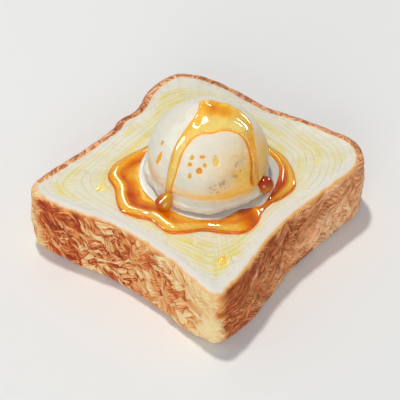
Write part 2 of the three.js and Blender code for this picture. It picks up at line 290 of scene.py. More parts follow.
# %% Rows of the slice, from the underside to the crumb
UNDER_ROWS, LOWER_ROWS, SIDE_ROWS, UPPER_ROWS, RIM_ROWS, CRUMB_ROWS, HIDDEN_ROWS = 4, 6, 48, 8, 7, 30, 4
UNDER_STARTS, CRUMB_SHOWS, CRUMB_ENDS = 0.9, 0.62, 0.96
lower_turn = np.linspace(0, math.pi / 2, LOWER_ROWS, endpoint=False)
upper_turn = np.linspace(0, math.pi / 2, UPPER_ROWS, endpoint=False)
rim_inset = np.linspace(EDGE_OVER, RIM_WIDTH, RIM_ROWS, endpoint=False)
shown_share = np.linspace(0, CRUMB_SHOWS, CRUMB_ROWS, endpoint=False)
crumb_share = np.concatenate([shown_share, np.linspace(CRUMB_SHOWS, CRUMB_ENDS, HIDDEN_ROWS)])
row_inset = np.concatenate(
    [
        np.full(UNDER_ROWS, EDGE_UNDER),
        EDGE_UNDER * (1 - np.sin(lower_turn)),
        np.zeros(SIDE_ROWS),
        EDGE_OVER * (1 - np.cos(upper_turn)),
        rim_inset,
        np.full(len(crumb_share), RIM_WIDTH),
    ]
)[:, None]
row_z = np.concatenate(
    [
        np.zeros(UNDER_ROWS),
        EDGE_UNDER * (1 - np.cos(lower_turn)),
        np.linspace(EDGE_UNDER, SLICE_THICKNESS - EDGE_OVER, SIDE_ROWS, endpoint=False),
        SLICE_THICKNESS - EDGE_OVER * (1 - np.sin(upper_turn)),
        SLICE_THICKNESS - CRUMB_DROP * smoothstep(rim_inset, EDGE_OVER, RIM_WIDTH),
        np.full(len(crumb_share), CRUMB_Z),
    ]
)[:, None]
row_share = np.zeros((len(row_z), 1))
row_share[:UNDER_ROWS, 0] = np.linspace(UNDER_STARTS, 0, UNDER_ROWS, endpoint=False)
row_share[-len(crumb_share) :, 0] = crumb_share
on_crumb = (np.arange(len(row_z)) >= len(row_z) - len(crumb_share))[:, None]
over_top = row_z > SLICE_THICKNESS / 2
print("rows:", len(row_z), "of", SLICE_STEPS, "points")

# %% [markdown]
# The side of the slice is torn crust. It flares out towards the board on the two sides where the loaf was
# pinched less. Broad furrows lean as they climb, as in the solid. Over them lie flakes, long shreds that
# lap over each other like shingles, each with its own lean, its own tone and strands along it. The flakes
# are cells scattered on a grid: every point belongs to the cell whose stretched oval is nearest, and where
# two are equally near lies the dark line between them. What changes from side to side is a list of (place,
# value) stops. Its places run once round the slice, from 0 to 1: the front side up to 0.236, the right side
# from 0.24 to 0.49, then the back and the left.

# %% Furrows of the crust
CRAG_WAVES = [(11, 0.45, 0.4, 0.45), (19, -0.7, 1.9, 0.35), (37, 1.3, 2.6, 0.2)]


def crags(round_, up):
    """Depth of the furrows, 0 to 1: folded sine waves, each so many times round and leaning with height."""
    return sum(
        share * (1 - np.abs(np.sin(TAU * (turns * round_ + lean * up) + phase))) ** 2
        for turns, lean, phase, share in CRAG_WAVES
    )


print("waves in the furrows:", len(CRAG_WAVES))

# %% Flakes of the crust
FLAKE_SPACING, FLAKE_LENGTH, FLAKE_WIDTH = 4.2, 8.0, 2.0
FLAKE_REACH = 3
FLAKE_RANK_COUNTS = 1.5
FLAKE_LEAN_SPREAD = 90.0
FLAKE_LEANS = [(0.0, -44), (0.232, -44), (0.245, 28), (0.48, 22), (0.52, 50), (0.97, 50), (1.0, -44)]


def flakes(s, z, seed):
    """For each point, of the flake that covers it: its random tone, its rank in the pile, how central the
    point is in it, and the distances along and across it. The nearest oval wins, and rank counts as nearness.
    Last comes how much nearer it is than the next one, which is 0 on the line between two flakes."""
    count = round(edge_length / FLAKE_SPACING)
    step = edge_length / count
    home = np.floor(np.stack([s / step, z / FLAKE_SPACING], -1)).astype(np.int64)
    found = np.full((6, *s.shape), np.inf)
    next_best = np.full(s.shape, np.inf)
    for shift in np.ndindex(2 * FLAKE_REACH + 1, 2 * FLAKE_REACH + 1):
        cell = home + np.array(shift) - FLAKE_REACH
        key = np.stack([cell[..., 0] % count, cell[..., 1]], -1)
        tone_, rank, turned = chance(key, seed), chance(key, seed + 1), chance(key, seed + 2)
        middle_s = (cell[..., 0] + chance(key, seed + 3)) * step
        off_s = s - middle_s
        off_z = z - (cell[..., 1] + chance(key, seed + 4)) * FLAKE_SPACING
        usual = np.interp((middle_s / edge_length) % 1, *np.array(FLAKE_LEANS).T)
        lean = np.radians(usual + FLAKE_LEAN_SPREAD * (turned - 0.5))
        along_ = off_s * np.cos(lean) + off_z * np.sin(lean)
        across_ = off_z * np.cos(lean) - off_s * np.sin(lean)
        inner = (along_ / FLAKE_LENGTH) ** 2 + (across_ / FLAKE_WIDTH) ** 2
        this = np.stack([inner - FLAKE_RANK_COUNTS * rank, tone_, rank, inner, along_, across_])
        next_best = np.minimum(next_best, np.maximum(this[0], found[0]))
        found = np.where(this[0] < found[0], this, found)
    return (*found[1:], next_best - found[0])


print("a flake, mm:", FLAKE_LENGTH, "by", FLAKE_WIDTH)

# %% Lay the flakes round the slice
WARP, WARP_SIZE = 0.7, 6
FLAKE_GAP = (0.1, 0.9)
STRAND_ACROSS, STRAND_ALONG = 0.85, 9.0
STRANDS_APART = 40
RANK_HEIGHT, DOME_HEIGHT, LAP_HEIGHT, STRAND_HEIGHT, GAP_DEPTH = 0.45, 0.3, 0.22, 0.2, 0.3
DOME_ENDS = 1.3
s_grid = np.broadcast_to(round_share[None, :] * edge_length, (len(row_z), SLICE_STEPS))
z_grid = np.broadcast_to(row_z + row_inset, s_grid.shape)
warp_at = np.stack([s_grid, z_grid], -1) / WARP_SIZE
warp_cells = round(edge_length / WARP_SIZE)
bent_s = s_grid + WARP * lattice_noise(warp_at, seed=17, period=warp_cells)
bent_z = z_grid + WARP * lattice_noise(warp_at, seed=18, period=warp_cells)
flake_tone, flake_rank, flake_edge, flake_along, flake_across, flake_gap = flakes(bent_s, bent_z, seed=211)
flake_line = 1 - smoothstep(flake_gap, *FLAKE_GAP)
strand_place = np.stack(
    [flake_across / STRAND_ACROSS, flake_along / STRAND_ALONG, flake_tone * STRANDS_APART], -1
)
strand = lattice_noise(strand_place, seed=223)
lap = np.clip(flake_across / FLAKE_WIDTH, -1, 1)
flake_high = (
    RANK_HEIGHT * flake_rank
    + DOME_HEIGHT * (1 - np.clip(flake_edge, 0, DOME_ENDS))
    + LAP_HEIGHT * lap
    + STRAND_HEIGHT * strand
    - GAP_DEPTH * flake_line
)
print("flake heights:", round(float(flake_high.min()), 2), "to", round(float(flake_high.max()), 2))

# %% [markdown]
# Thinner shreds lie on the flakes, finer than the mesh, so the shader draws them. For that each point
# stores where it lies on its side of the loaf, in millimetres along and across the way that the dough was
# pulled there. A second pair, turned against the first, serves for the patches where shreds lie crosswise.
# Soft noise bends both.

# %% Where each point lies among the shreds
SIDE_STARTS, SIDE_LEANS = np.array([0.2385, 0.5, 0.985]), np.array([28, 50, -44])
CROSSED_LEANS = np.array([-36, -20, 24])
SHRED_STRETCH = np.array([0.65, 1.0, 1.0])
SHRED_BEND, SHRED_BEND_SIZE = 1.8, 8.0


def side_noise(length, height, seed):
    """Noise on the slice's side with cells about so long and so high. It closes round the slice."""
    cells = round(edge_length / length)
    return lattice_noise(np.stack([s_grid * cells / edge_length, z_grid / height], -1), seed, period=cells)


side = np.searchsorted(SIDE_STARTS, round_share, side="right") - 1
side_s = ((round_share - SIDE_STARTS[side]) % 1) * edge_length
shred_s = side_s[None, :] + SHRED_BEND * side_noise(SHRED_BEND_SIZE, SHRED_BEND_SIZE, seed=231)
shred_z = z_grid + SHRED_BEND * side_noise(SHRED_BEND_SIZE, SHRED_BEND_SIZE, seed=233)


def along_and_across(leans):
    """Distances along and across lines that climb at each side's lean, in degrees: the place turned by it,
    and along the lines shortened by the side's stretch."""
    lean = np.radians(leans[side])[None, :]
    along_ = (shred_s * np.cos(lean) + shred_z * np.sin(lean)) * SHRED_STRETCH[side]
    across_ = shred_z * np.cos(lean) - shred_s * np.sin(lean)
    return np.stack([along_, across_, np.zeros_like(along_)], -1)


shred_place = along_and_across(SIDE_LEANS)
crossed_place = along_and_across(CROSSED_LEANS)
print("sides of the loaf:", len(SIDE_STARTS))

# %% The slice's side
SIDE_FLARE = [
    (0, 0.2), (0.06, 2.8), (0.09, 3.9), (0.19, 3.9), (0.228, 0.2), (0.24, 0.2), (0.285, 3.1), (0.32, 3.9),
    (0.37, 2.1), (0.45, 0.6), (0.52, 0), (0.96, 0), (1, 0.2),
]
FLAKE_DEPTH, FLAKE_MIDDLE, FLAKE_PROUD = 1.0, 0.55, 0.4
TORN_FROM_FOOT, TORN_FROM_RIM = (0.5, 4.0), (1.0, 6.0)


def round_the_slice(stops):
    """The values, as one row with one for each point of the edge, of stops that run once round the slice."""
    return smooth_stops(stops, round_share)[None, :]


height_share = row_z / SLICE_THICKNESS
middle_height = np.sin(math.pi * np.clip(height_share, 0, 1))
furrow_share = crags(round_share[None, :], height_share)
furrow = np.sqrt(middle_height) * (CRAG_DEPTH * furrow_share - CRAG_PROUD)
flare = round_the_slice(SIDE_FLARE) * (1 - height_share)
tuck = SIDE_TUCK * (1 - middle_height)
torn = smoothstep(row_z, *TORN_FROM_FOOT) * smoothstep(SLICE_THICKNESS - row_z, *TORN_FROM_RIM)
torn = torn * (FLAKE_MIDDLE - flake_high) * FLAKE_DEPTH
depth_in = row_inset + tuck + np.maximum(furrow + torn, -CRAG_PROUD - FLAKE_PROUD) - flare
print("side, mm in from the edge:", round(float(depth_in.min()), 2), "to", round(float(depth_in.max()), 2))

# %% The slice's skin
RIM_FALL = 9.0
slice_rings = np.empty((len(row_z), SLICE_STEPS, 3))
slice_rings[..., :2] = edge[None] + inwards[None] * depth_in[..., None]
slice_rings[..., 2] = row_z
under_pole = np.array([0.0, 0.0, 0.0])
crumb_pole = np.array([SCOOP_X, SCOOP_Y, CRUMB_Z])
pole = np.where(on_crumb[..., None], crumb_pole, under_pole)
slice_rings += (pole - slice_rings) * row_share[..., None]
flat = slice_rings[..., :2]
from_edge = row_inset + np.linalg.norm(flat - (edge + inwards * RIM_WIDTH)[None], axis=-1) * on_crumb
on_top = (from_edge > EDGE_OVER) & over_top
fallen = CRUMB_DROP * smoothstep(from_edge, EDGE_OVER, RIM_FALL)
slice_rings[..., 2] = np.where(on_top, SLICE_THICKNESS - fallen, slice_rings[..., 2])
print("slice skin:", slice_rings.shape)

# %% [markdown]
# The crumb is fine and even, with small pores. Pores are noise that is cut off below a level, so that only
# scattered hollows remain. The swirl that rolling the dough leaves is a matter of colour, so here each
# point only stores where it lies in it: a turn round the slice, as a point on a circle so that it closes,
# and a depth that grows from the rim to under the scoop and wanders a little. The swirl repeats the slice's
# edge with its corners rounded off, which is what averaging the rim's distance from the scoop over its
# neighbours does.

# %% Pores and lumps of the crumb
PORE_DEPTH, PORE_SPACING, PORE_LEVELS = 0.3, 1.5, (0.35, 0.8)
LUMP_HEIGHT, LUMP_SPACING = 0.2, 7
HONEY_HIDES, HONEY_REACH = 38, 47.0
RIM_BLEND = 2
flat_from_scoop = np.hypot(flat[..., 0] - SCOOP_X, flat[..., 1] - SCOOP_Y)
inside_rim = smoothstep(from_edge, RIM_WIDTH, RIM_WIDTH + RIM_BLEND)
open_crumb = on_crumb * inside_rim * smoothstep(flat_from_scoop, HONEY_HIDES, HONEY_REACH)
pores = smoothstep(lattice_noise(flat / PORE_SPACING, seed=61), *PORE_LEVELS)
lumps = layered_noise(flat / LUMP_SPACING, seed=67, layers=3)
slice_rings[..., 2] += open_crumb * (LUMP_HEIGHT * lumps - PORE_DEPTH * pores)
print("pores cover", round(float((pores * open_crumb).sum() / open_crumb.sum()) * 100), "% of the open crumb")

# %% Where each point lies in the swirl
SWIRL_DEPTH, SWIRL_ROUNDING = 46.0, 60
WANDER, WANDER_SIZE = 2.0, 26
wander = WANDER * lattice_noise(flat / WANDER_SIZE, seed=41)
swirl_turn = TAU * round_share[None, :]
rim_reach = np.linalg.norm(edge + inwards * RIM_WIDTH - crumb_pole[:2], axis=1)
steps_off = np.minimum(np.arange(SLICE_STEPS), SLICE_STEPS - np.arange(SLICE_STEPS))
average = np.exp(-((steps_off / SWIRL_ROUNDING) ** 2))
rounded_reach = np.fft.ifft(np.fft.fft(rim_reach) * np.fft.fft(average / average.sum())).real
swirl_depth = SWIRL_DEPTH * (1 - (1 - row_share) * (rim_reach / rounded_reach)[None, :])
swirl_place = np.stack(
    np.broadcast_arrays(np.cos(swirl_turn), np.sin(swirl_turn), swirl_depth + wander), -1
)
print("rim's distance from the scoop, mm:", rim_reach.min().round(1), "to", rim_reach.max().round(1))

# %% [markdown]
# A loaf browns unevenly in its tin, so the crust has its own tone on every side. These lists of stops run
# once round the slice too. On top the crust ends in a ragged edge, and beside it the crumb is toasted to a
# golden line with a softer glow inside it. The right side is browner, and darker in its upper part. The rim
# has a tone of its own, with a shaded outer edge. A painted picture could hold all this, but it would have
# to be unwrapped and drawn by hand, while a list of stops is quick to read and to change.

# %% Where the crust ends on top
CRUST_REACH = [
    (0.0, 2.4), (0.03, 1.0), (0.2, 1.0), (0.222, 0.7), (0.24, 0.7), (0.26, 1.5), (0.45, 1.7), (0.51, 4.2),
    (0.95, 4.4), (1.0, 2.4),
]
RAGGEDNESS = [(0, 0.4), (0.03, 0.3), (0.45, 0.3), (0.52, 0.6), (0.95, 0.5), (1, 0.4)]
RAGGED_SIZE = 4
CRUST_BLEND = 0.25
UNDER_CRUST = 0.75
ragged = layered_noise(flat / RAGGED_SIZE, seed=71, layers=3)
past_crust = from_edge + round_the_slice(RAGGEDNESS) * ragged - round_the_slice(CRUST_REACH)
crust = 1 - smoothstep(past_crust, -CRUST_BLEND, CRUST_BLEND) * over_top
crust = np.where(row_z > EDGE_UNDER / 2, crust, UNDER_CRUST)
print("crust covers", round(float(crust.mean()) * 100), "% of the points")

# %% The golden line and the streaks of the crumb
GOLD_LINE = [
    (0, 0.6), (0.03, 0.8), (0.235, 0.8), (0.26, 1.15), (0.45, 1.1), (0.52, 0.3), (0.95, 0.3), (1, 0.6),
]
GOLD_LINE_OUT = [(0, 0.0), (0.235, 0.0), (0.26, 0.25), (0.45, 0.25), (0.52, 0.0), (1, 0.0)]
GLOW = [(0, 0.1), (0.2, 0.1), (0.25, 0.22), (0.5, 0.26), (0.95, 0.26), (1, 0.1)]
GOLD_LINE_WIDTH, GLOW_IN, GLOW_WIDTH = 0.5, 0.7, 1.2
BLUSH_LIMIT = 1.2
STREAKS_WAVER, STREAKS_START = 1.5, (6.0, 13.0)
past_gold = past_crust + round_the_slice(GOLD_LINE_OUT)
blush = np.exp(-((past_gold / GOLD_LINE_WIDTH) ** 2)) * round_the_slice(GOLD_LINE)
blush += np.exp(-(((past_gold - GLOW_IN) / GLOW_WIDTH) ** 2)) * round_the_slice(GLOW)
blush = np.minimum(blush, BLUSH_LIMIT) * over_top
streaks = smoothstep(from_edge + STREAKS_WAVER * ragged, *STREAKS_START)
print("golden line at most:", round(float(blush.max()), 2))

# %% How far each side is browned
PALENESS = [
    (0.0, 0.9), (0.008, 0.7), (0.015, 0.34), (0.04, 0.34), (0.06, 0.44), (0.08, 0.56), (0.1, 0.52),
    (0.115, 0.4), (0.135, 0.62), (0.175, 0.76), (0.2, 0.78), (0.213, 0.86), (0.225, 0.98), (0.236, 0.94),
    (0.241, 0.55), (0.246, 0.15), (0.27, 0.2), (0.3, 0.27), (0.33, 0.36), (0.37, 0.4), (0.42, 0.62),
    (0.45, 0.7), (0.475, 0.75), (0.49, 0.75), (0.505, 0.5), (0.53, 0.36), (0.6, 0.3), (0.7, 0.3),
    (0.745, 0.42), (0.8, 0.36), (0.9, 0.4), (0.965, 0.5), (0.985, 0.86), (1.0, 0.92),
]
FLAKE_CONTRAST = [
    (0, 0.5), (0.19, 0.5), (0.215, 0.3), (0.238, 0.25), (0.246, 0.34), (0.3, 0.3), (0.48, 0.3), (1, 0.45),
]
UPPER_SHADE = [(0, 0), (0.24, 0), (0.26, 0.06), (0.33, 0.16), (0.44, 0.24), (0.48, 0.18), (0.5, 0), (1, 0)]
UPPER_PART, UPPER_MIDDLE = (0.5, 0.8), 0.3
PALE_WAVER, PALE_WAVER_SIZE = 0.006, 5
PATCH_TONE, PATCH_LENGTH, PATCH_HEIGHT = 0.17, 15, 11
FLAKE_TONE, FLAKE_TONE_MIDDLE = 0.6, 0.45
STRAND_TONE, GAP_TONE = 0.25, 0.45
FURROW_SHADE, FURROW_MIDDLE = 0.12, 0.35
wavered = round_share + PALE_WAVER * lattice_noise(z_grid[..., None] / PALE_WAVER_SIZE, seed=79)
patches = side_noise(PATCH_LENGTH, PATCH_HEIGHT, seed=83)
flake_shade = flake_tone - FLAKE_TONE_MIDDLE + STRAND_TONE * strand - GAP_TONE * flake_line
gold = np.interp(wavered, *np.array(PALENESS).T) + PATCH_TONE * patches
gold += FLAKE_TONE * round_the_slice(FLAKE_CONTRAST) * flake_shade
# Painted shade: the crust is darker down in its furrows.
gold -= FURROW_SHADE * (furrow_share - FURROW_MIDDLE)
gold -= round_the_slice(UPPER_SHADE) * (smoothstep(height_share, *UPPER_PART) - UPPER_MIDDLE)
print("crust tones from", round(float(gold.min()), 2), "to", round(float(gold.max()), 2))

# %% The rim and the foot of the crust
RIM_TONES = [
    (0, 0.8), (0.02, 0.66), (0.05, 0.55), (0.2, 0.56), (0.25, 0.6), (0.4, 0.58), (0.46, 0.48), (0.5, 0.44),
    (0.55, 0.46), (0.93, 0.46), (0.98, 0.7), (1, 0.8),
]
RIM_HEIGHT = [(0, 1.6), (0.03, 0.9), (0.21, 0.9), (0.25, 0.8), (0.45, 0.8), (0.5, 1.6), (1, 1.6)]
RIM_SHADE = [(0, 0.2), (0.235, 0.2), (0.26, 0.45), (0.45, 0.45), (0.5, 0.2), (1, 0.2)]
RIM_SHADE_WIDTH = [(0, 2.2), (0.235, 2.2), (0.26, 1.2), (0.45, 1.2), (0.5, 2.2), (1, 2.2)]
RIM_SHADE_FULL = 0.3
RIM_BROWN = [
    (0, 0.0), (0.03, 0.3), (0.22, 0.4), (0.26, 0.5), (0.4, 0.6), (0.47, 0.95), (0.93, 0.95), (0.98, 0.4),
    (1, 0.0),
]
SIDE_BROWN = [
    (0, 0.0), (0.236, 0.0), (0.25, 0.6), (0.34, 0.65), (0.42, 0.95), (0.48, 0.95), (0.52, 0.5), (0.95, 0.4),
    (1, 0.0),
]
RIM_BLENDS, RIM_STRANDS, RIM_HOLD = (-1.0, -0.4), 0.1, 0.8
FOOT_BLENDS, FOOT_TONE, FOOT_HOLD = (1.0, 4.5), 0.52, 0.5
at_rim = smoothstep((row_z - SLICE_THICKNESS) / round_the_slice(RIM_HEIGHT), *RIM_BLENDS)
at_foot = 1 - smoothstep(row_z, *FOOT_BLENDS)
shaded_rim = 1 - smoothstep(from_edge, RIM_SHADE_FULL, round_the_slice(RIM_SHADE_WIDTH))
rim_tone = round_the_slice(RIM_TONES) + RIM_STRANDS * strand - round_the_slice(RIM_SHADE) * shaded_rim
gold += (rim_tone - gold) * RIM_HOLD * at_rim + (FOOT_TONE - gold) * FOOT_HOLD * at_foot
side_brown = round_the_slice(SIDE_BROWN)
brown = side_brown + (round_the_slice(RIM_BROWN) - side_brown) * at_rim
print("rim tones from", round(float(rim_tone.min()), 2), "to", round(float(rim_tone.max()), 2))

# %% How strongly the shreds show
SHRED_CONTRAST = [
    (0, 0.55), (0.02, 0.5), (0.05, 0.8), (0.19, 0.8), (0.212, 0.5), (0.225, 0.25), (0.238, 0.25),
    (0.246, 0.3), (0.3, 0.28), (0.36, 0.34), (0.42, 0.52), (0.48, 0.5), (0.52, 0.42), (0.95, 0.48),
    (1, 0.55),
]
STRAND_CONTRAST = [
    (0, 0.6), (0.05, 0.8), (0.2, 0.7), (0.23, 0.4), (0.246, 1.0), (0.3, 1.0), (0.4, 0.9), (0.48, 0.9),
    (0.52, 0.8), (0.95, 0.7), (1, 0.6),
]
RIM_SHREDS = [(0, 0.6), (0.45, 0.6), (0.52, 1.4), (0.95, 1.4), (1, 0.6)]
CALM, CALM_HEIGHT = 0.35, 14
calm = side_noise(PATCH_LENGTH, CALM_HEIGHT, seed=89)
shreds_at_rim = 1 + (round_the_slice(RIM_SHREDS) - 1) * at_rim
shred_contrast, strand_contrast = (
    round_the_slice(stops) * shreds_at_rim * (1 + CALM * calm) for stops in (SHRED_CONTRAST, STRAND_CONTRAST)
)
print("shred contrast at most:", round(float(shred_contrast.max()), 2))

# %% The slice as a mesh
UNDER_TONE = 0.5
vertices, quads, triangles = skin(slice_rings, np.stack([under_pole, crumb_pole]))


def with_poles(values, first=0, last=0):
    """The grid's numbers in the order of the skin's points, followed by those of the two poles."""
    values = np.asarray(values, float)
    if values.ndim == 2:
        return np.append(np.broadcast_to(values, s_grid.shape).ravel(), [first, last])
    return np.vstack([values.reshape(-1, 3), [first] * 3, [last] * 3])


toast = new_piece(
    "toast_slice", vertices, quads, triangles,
    {
        "crust": with_poles(crust, first=UNDER_CRUST),
        "gold": with_poles(np.clip(gold, 0, 1), first=UNDER_TONE),
        "brown": with_poles(brown),
        "shred_place": with_poles(shred_place),
        "crossed_place": with_poles(crossed_place),
        "shred_contrast": with_poles(shred_contrast),
        "strand_contrast": with_poles(strand_contrast),
        "swirl_place": with_poles(swirl_place),
        "blush": with_poles(blush),
        "streaks": with_poles(streaks),
        "lined": with_poles(inside_rim),
        "pores": with_poles(pores * open_crumb),
    },
)

# %% [markdown]
# The scoop. A disher leaves a ball with a ragged skirt where the cream was pressed past its rim, and the
# ball stands in a thin ring of melt. The skin runs from under the melt, over its lip, in under the skirt
# and up over the ball. The surface is a distance from the ball's middle for each direction, so dents, the
# crease and the frost all add to one number.

# %% Shape of the ice cream
MELT_LOBES = [(-88, -1.5, 14), (-22, -3, 9), (-4, 1.2, 7), (46, 1.2, 11), (66, -0.9, 9)]
SKIRT_BULGE = (-50, 0.5, 18)
SKIRT_STEP, CREASE_WIDTH = 5, 4
SCOOP_STEPS = 460
SCOOP_PLACE = np.array([SCOOP_X, SCOOP_Y, CRUMB_Z + SEAT])


def bump_at(turn, centre, spread):
    """A soft bump round the scoop: exp((cos of the angle from its centre - 1) / spread^2)."""
    return np.exp((np.cos(turn - math.radians(centre)) - 1) / math.radians(spread) ** 2)


def melt_reach(turn):
    """How far out the melt reaches: a circle with a soft bump or dip at each lobe."""
    return MELT_RADIUS + sum(change * bump_at(turn, centre, spread) for centre, change, spread in MELT_LOBES)


def cream_radius(turn, down):
    """Distance of the surface from the ball's middle: the ball, soft dents, the ragged skirt and the crease
    above it."""
    past = np.degrees(down) - SKIRT_TOP
    broad = np.sin(3 * turn + 0.8) * np.sin(4 * down)
    small = np.sin(7 * turn - 3 * down)
    rag = 0.6 + 0.25 * np.sin(5 * turn + 1.1) + 0.15 * np.sin(13 * turn + 0.3)
    rag = rag + SKIRT_BULGE[1] * bump_at(turn, SKIRT_BULGE[0], SKIRT_BULGE[2])
    dimple = BALL_DIMPLE * (broad + 0.6 * small) * np.sin(down)
    skirt = SKIRT_PROUD * rag * smoothstep(past, 0, SKIRT_STEP)
    crease = SKIRT_CREASE * np.exp(-((past / CREASE_WIDTH) ** 2))
    return BALL_RADIUS + dimple + skirt - crease


def direction(turn, down):
    """Unit vector at a turn about the upright axis and an angle down from it."""
    level = np.cos(turn) * np.sin(down), np.sin(turn) * np.sin(down)
    return np.stack(np.broadcast_arrays(*level, np.cos(down)), -1)


def on_cream(turn, down, out=0.0):
    """A point of the ice cream's surface, moved out from it."""
    radius = cream_radius(turn, down) + out
    return direction(turn, down) * radius[..., None] + [0, 0, BALL_HEIGHT]


def near(towards, round_, down, spread):
    """A bell on the ball: 1 in the direction given in degrees, exp(-(degrees away / spread)^2) about it."""
    middle = direction(math.radians(round_), math.radians(down))
    away = np.degrees(np.arccos(np.clip(towards @ middle, -1, 1)))
    return np.exp(-((away / spread) ** 2))


def polar(turn, out, height):
    """A point at a turn, a distance out and a height about the scoop's axis."""
    return np.stack(np.broadcast_arrays(np.cos(turn) * out, np.sin(turn) * out, height), -1)


scoop_turn = np.arange(SCOOP_STEPS)[None, :] / SCOOP_STEPS * TAU
foot = math.acos((MELT_THICKNESS + SKIRT_LIFT - BALL_HEIGHT) / BALL_RADIUS)
print("skirt's foot, degrees down:", round(math.degrees(foot), 1))

# %% Rings of the melt
MELT_LIP = curve_through([(-0.5, 0), (0, 0.45), (-0.2, 0.8), (-0.9, 1)], closed=False, per_span=4)
MELT_ROWS = 10
reach = melt_reach(scoop_turn)
lip_rings = polar(scoop_turn, reach + MELT_LIP[:, :1], MELT_LIP[:, 1:] * MELT_THICKNESS)
fold_radius = BALL_RADIUS * math.sin(foot) - SKIRT_UNDERCUT
melt_share = np.linspace(0, 1, MELT_ROWS + 1)[1:, None]
melt_out = (reach + MELT_LIP[-1, 0]) * (1 - melt_share) + fold_radius * melt_share
melt_high = MELT_THICKNESS + SEAT * melt_share
melt_rings = polar(scoop_turn, melt_out, melt_high)
print("melt reaches, mm:", round(float(reach.min()), 1), "to", round(float(reach.max()), 1))

# %% Frost, tatters and pits of the ball
BALL_ROWS = 180
FROST_SIZE, FROST_HEIGHT = 4.5, 0.22
GRAIN_SIZE, GRAIN_HEIGHT = 0.9, 0.06
TATTER_SIZE, TATTER_HEIGHT, TATTER_STARTS = [3.5, 3.5, 1.6], 0.55, (-3, 4)
PIT_PLACES = [(-46, 78, 7), (-36, 74, 7), (-25, 68, 7), (-15, 61, 7)]
PIT_SIZE, PIT_DEPTH, PIT_LEVELS, PITS_APART = 1.2, 0.35, (-0.05, 0.4), 0.8
FOLD_DEPTH, FOLD_WIDTH = 0.4, 3
ball_down = foot * (1 - np.linspace(0, 1, BALL_ROWS, endpoint=False)[:, None])
ball_towards = direction(scoop_turn, ball_down)
ball_at = ball_towards * BALL_RADIUS
frost = layered_noise(ball_at / FROST_SIZE, seed=101, layers=4)
grain = layered_noise(ball_at / GRAIN_SIZE, seed=113, layers=2)
past_skirt = np.degrees(ball_down) - SKIRT_TOP
tatter = layered_noise(ball_at / TATTER_SIZE, seed=131, layers=3) * smoothstep(past_skirt, *TATTER_STARTS)
pit_share = np.max([near(ball_towards, *place) for place in PIT_PLACES], axis=0)
pit_noise = lattice_noise(ball_at / PIT_SIZE, seed=137) + PITS_APART * (pit_share - 1)
pits = smoothstep(pit_noise, *PIT_LEVELS) * (past_skirt < 0)
relief = (
    FROST_HEIGHT * frost
    + GRAIN_HEIGHT * grain
    + TATTER_HEIGHT * tatter
    - PIT_DEPTH * pits
    - FOLD_DEPTH * np.exp(-((past_skirt / FOLD_WIDTH) ** 2))
)
print("pits cover", round(float(pits.mean()) * 100, 1), "% of the ball")

# %% Rings of the whole scoop
ball_rings = on_cream(scoop_turn, ball_down, relief)
cream_rings = np.concatenate([lip_rings, melt_rings, ball_rings]) + SCOOP_PLACE
cream_top = BALL_HEIGHT + float(cream_radius(np.zeros(1), np.zeros(1))[0])
cream_poles = np.array([[0, 0, 0], [0, 0, cream_top]]) + SCOOP_PLACE
print("scoop's top above the crumb, mm:", round(cream_top, 1))

# %% Where the ice cream is wet, and where its warm shade and the shade in its pits are painted
# Painted shade: a warm tint low on the ball, strongest on its right and a little on its lower left, stands in
# for the shadow there and the light that the honey and the toast throw back. It is mostly taken off the
# skirt.
WARM_SHADE_PLACES = [(-9, 80, 34, 1.0), (34, 70, 20, 0.6), (-118, 88, 15, 0.3)]
SHADE_BAND_DOWN, SHADE_BAND_WIDTH = 89, 5
SHADE_BAND_MIDDLE, SHADE_BAND_SPREAD, SHADE_BAND_SHARE = -45, 40, 0.8
WARM_MOTTLE = 0.25
SKIRT_COOLS, SKIRT_COOL_STEP = 0.85, 4
# Painted shade in the pits, with a lighter wash of it over the shaded band that they lie in.
SHADE_ROUND_PITS, SHADE_IN_PITS = 0.4, 0.6
wet, warm_shade, pit_shade = np.zeros((3, *cream_rings.shape[:2]))
wet[:-BALL_ROWS] = 1
low_shade_band = np.exp(-(((np.degrees(ball_down) - SHADE_BAND_DOWN) / SHADE_BAND_WIDTH) ** 2))
low_shade_band = low_shade_band * bump_at(scoop_turn, SHADE_BAND_MIDDLE, SHADE_BAND_SPREAD)
warm_shade_here = sum(share * near(ball_towards, *place) for *place, share in WARM_SHADE_PLACES)
warm_shade[-BALL_ROWS:] = np.clip(warm_shade_here * (1 + WARM_MOTTLE * frost) + SHADE_BAND_SHARE * low_shade_band, 0, 1)
warm_shade[-BALL_ROWS:] *= 1 - SKIRT_COOLS * smoothstep(past_skirt, 0, SKIRT_COOL_STEP)
pit_shade[-BALL_ROWS:] = SHADE_ROUND_PITS * pit_share + SHADE_IN_PITS * pits
vertices, quads, triangles = skin(cream_rings, cream_poles)
cream = new_piece(
    "ice_cream_scoop", vertices, quads, triangles,
    {
        "wet": np.append(wet.ravel(), [1, 0]),
        "warm_shade": np.append(warm_shade.ravel(), [0, 0]),
        "pit_shade": np.append(pit_shade.ravel(), [0, 0]),
    },
)

# %% [markdown]
# The honey that was poured: a sheet over the top of the ball with two runs, and a lobed pool on the crumb.
# They are made apart, each sunk a little into what it lies on so that no film of air shows underneath, and
# then melted together by a voxel remesh and a few rounds of smoothing, which draws the same soft necks and
# round edges that real honey has.

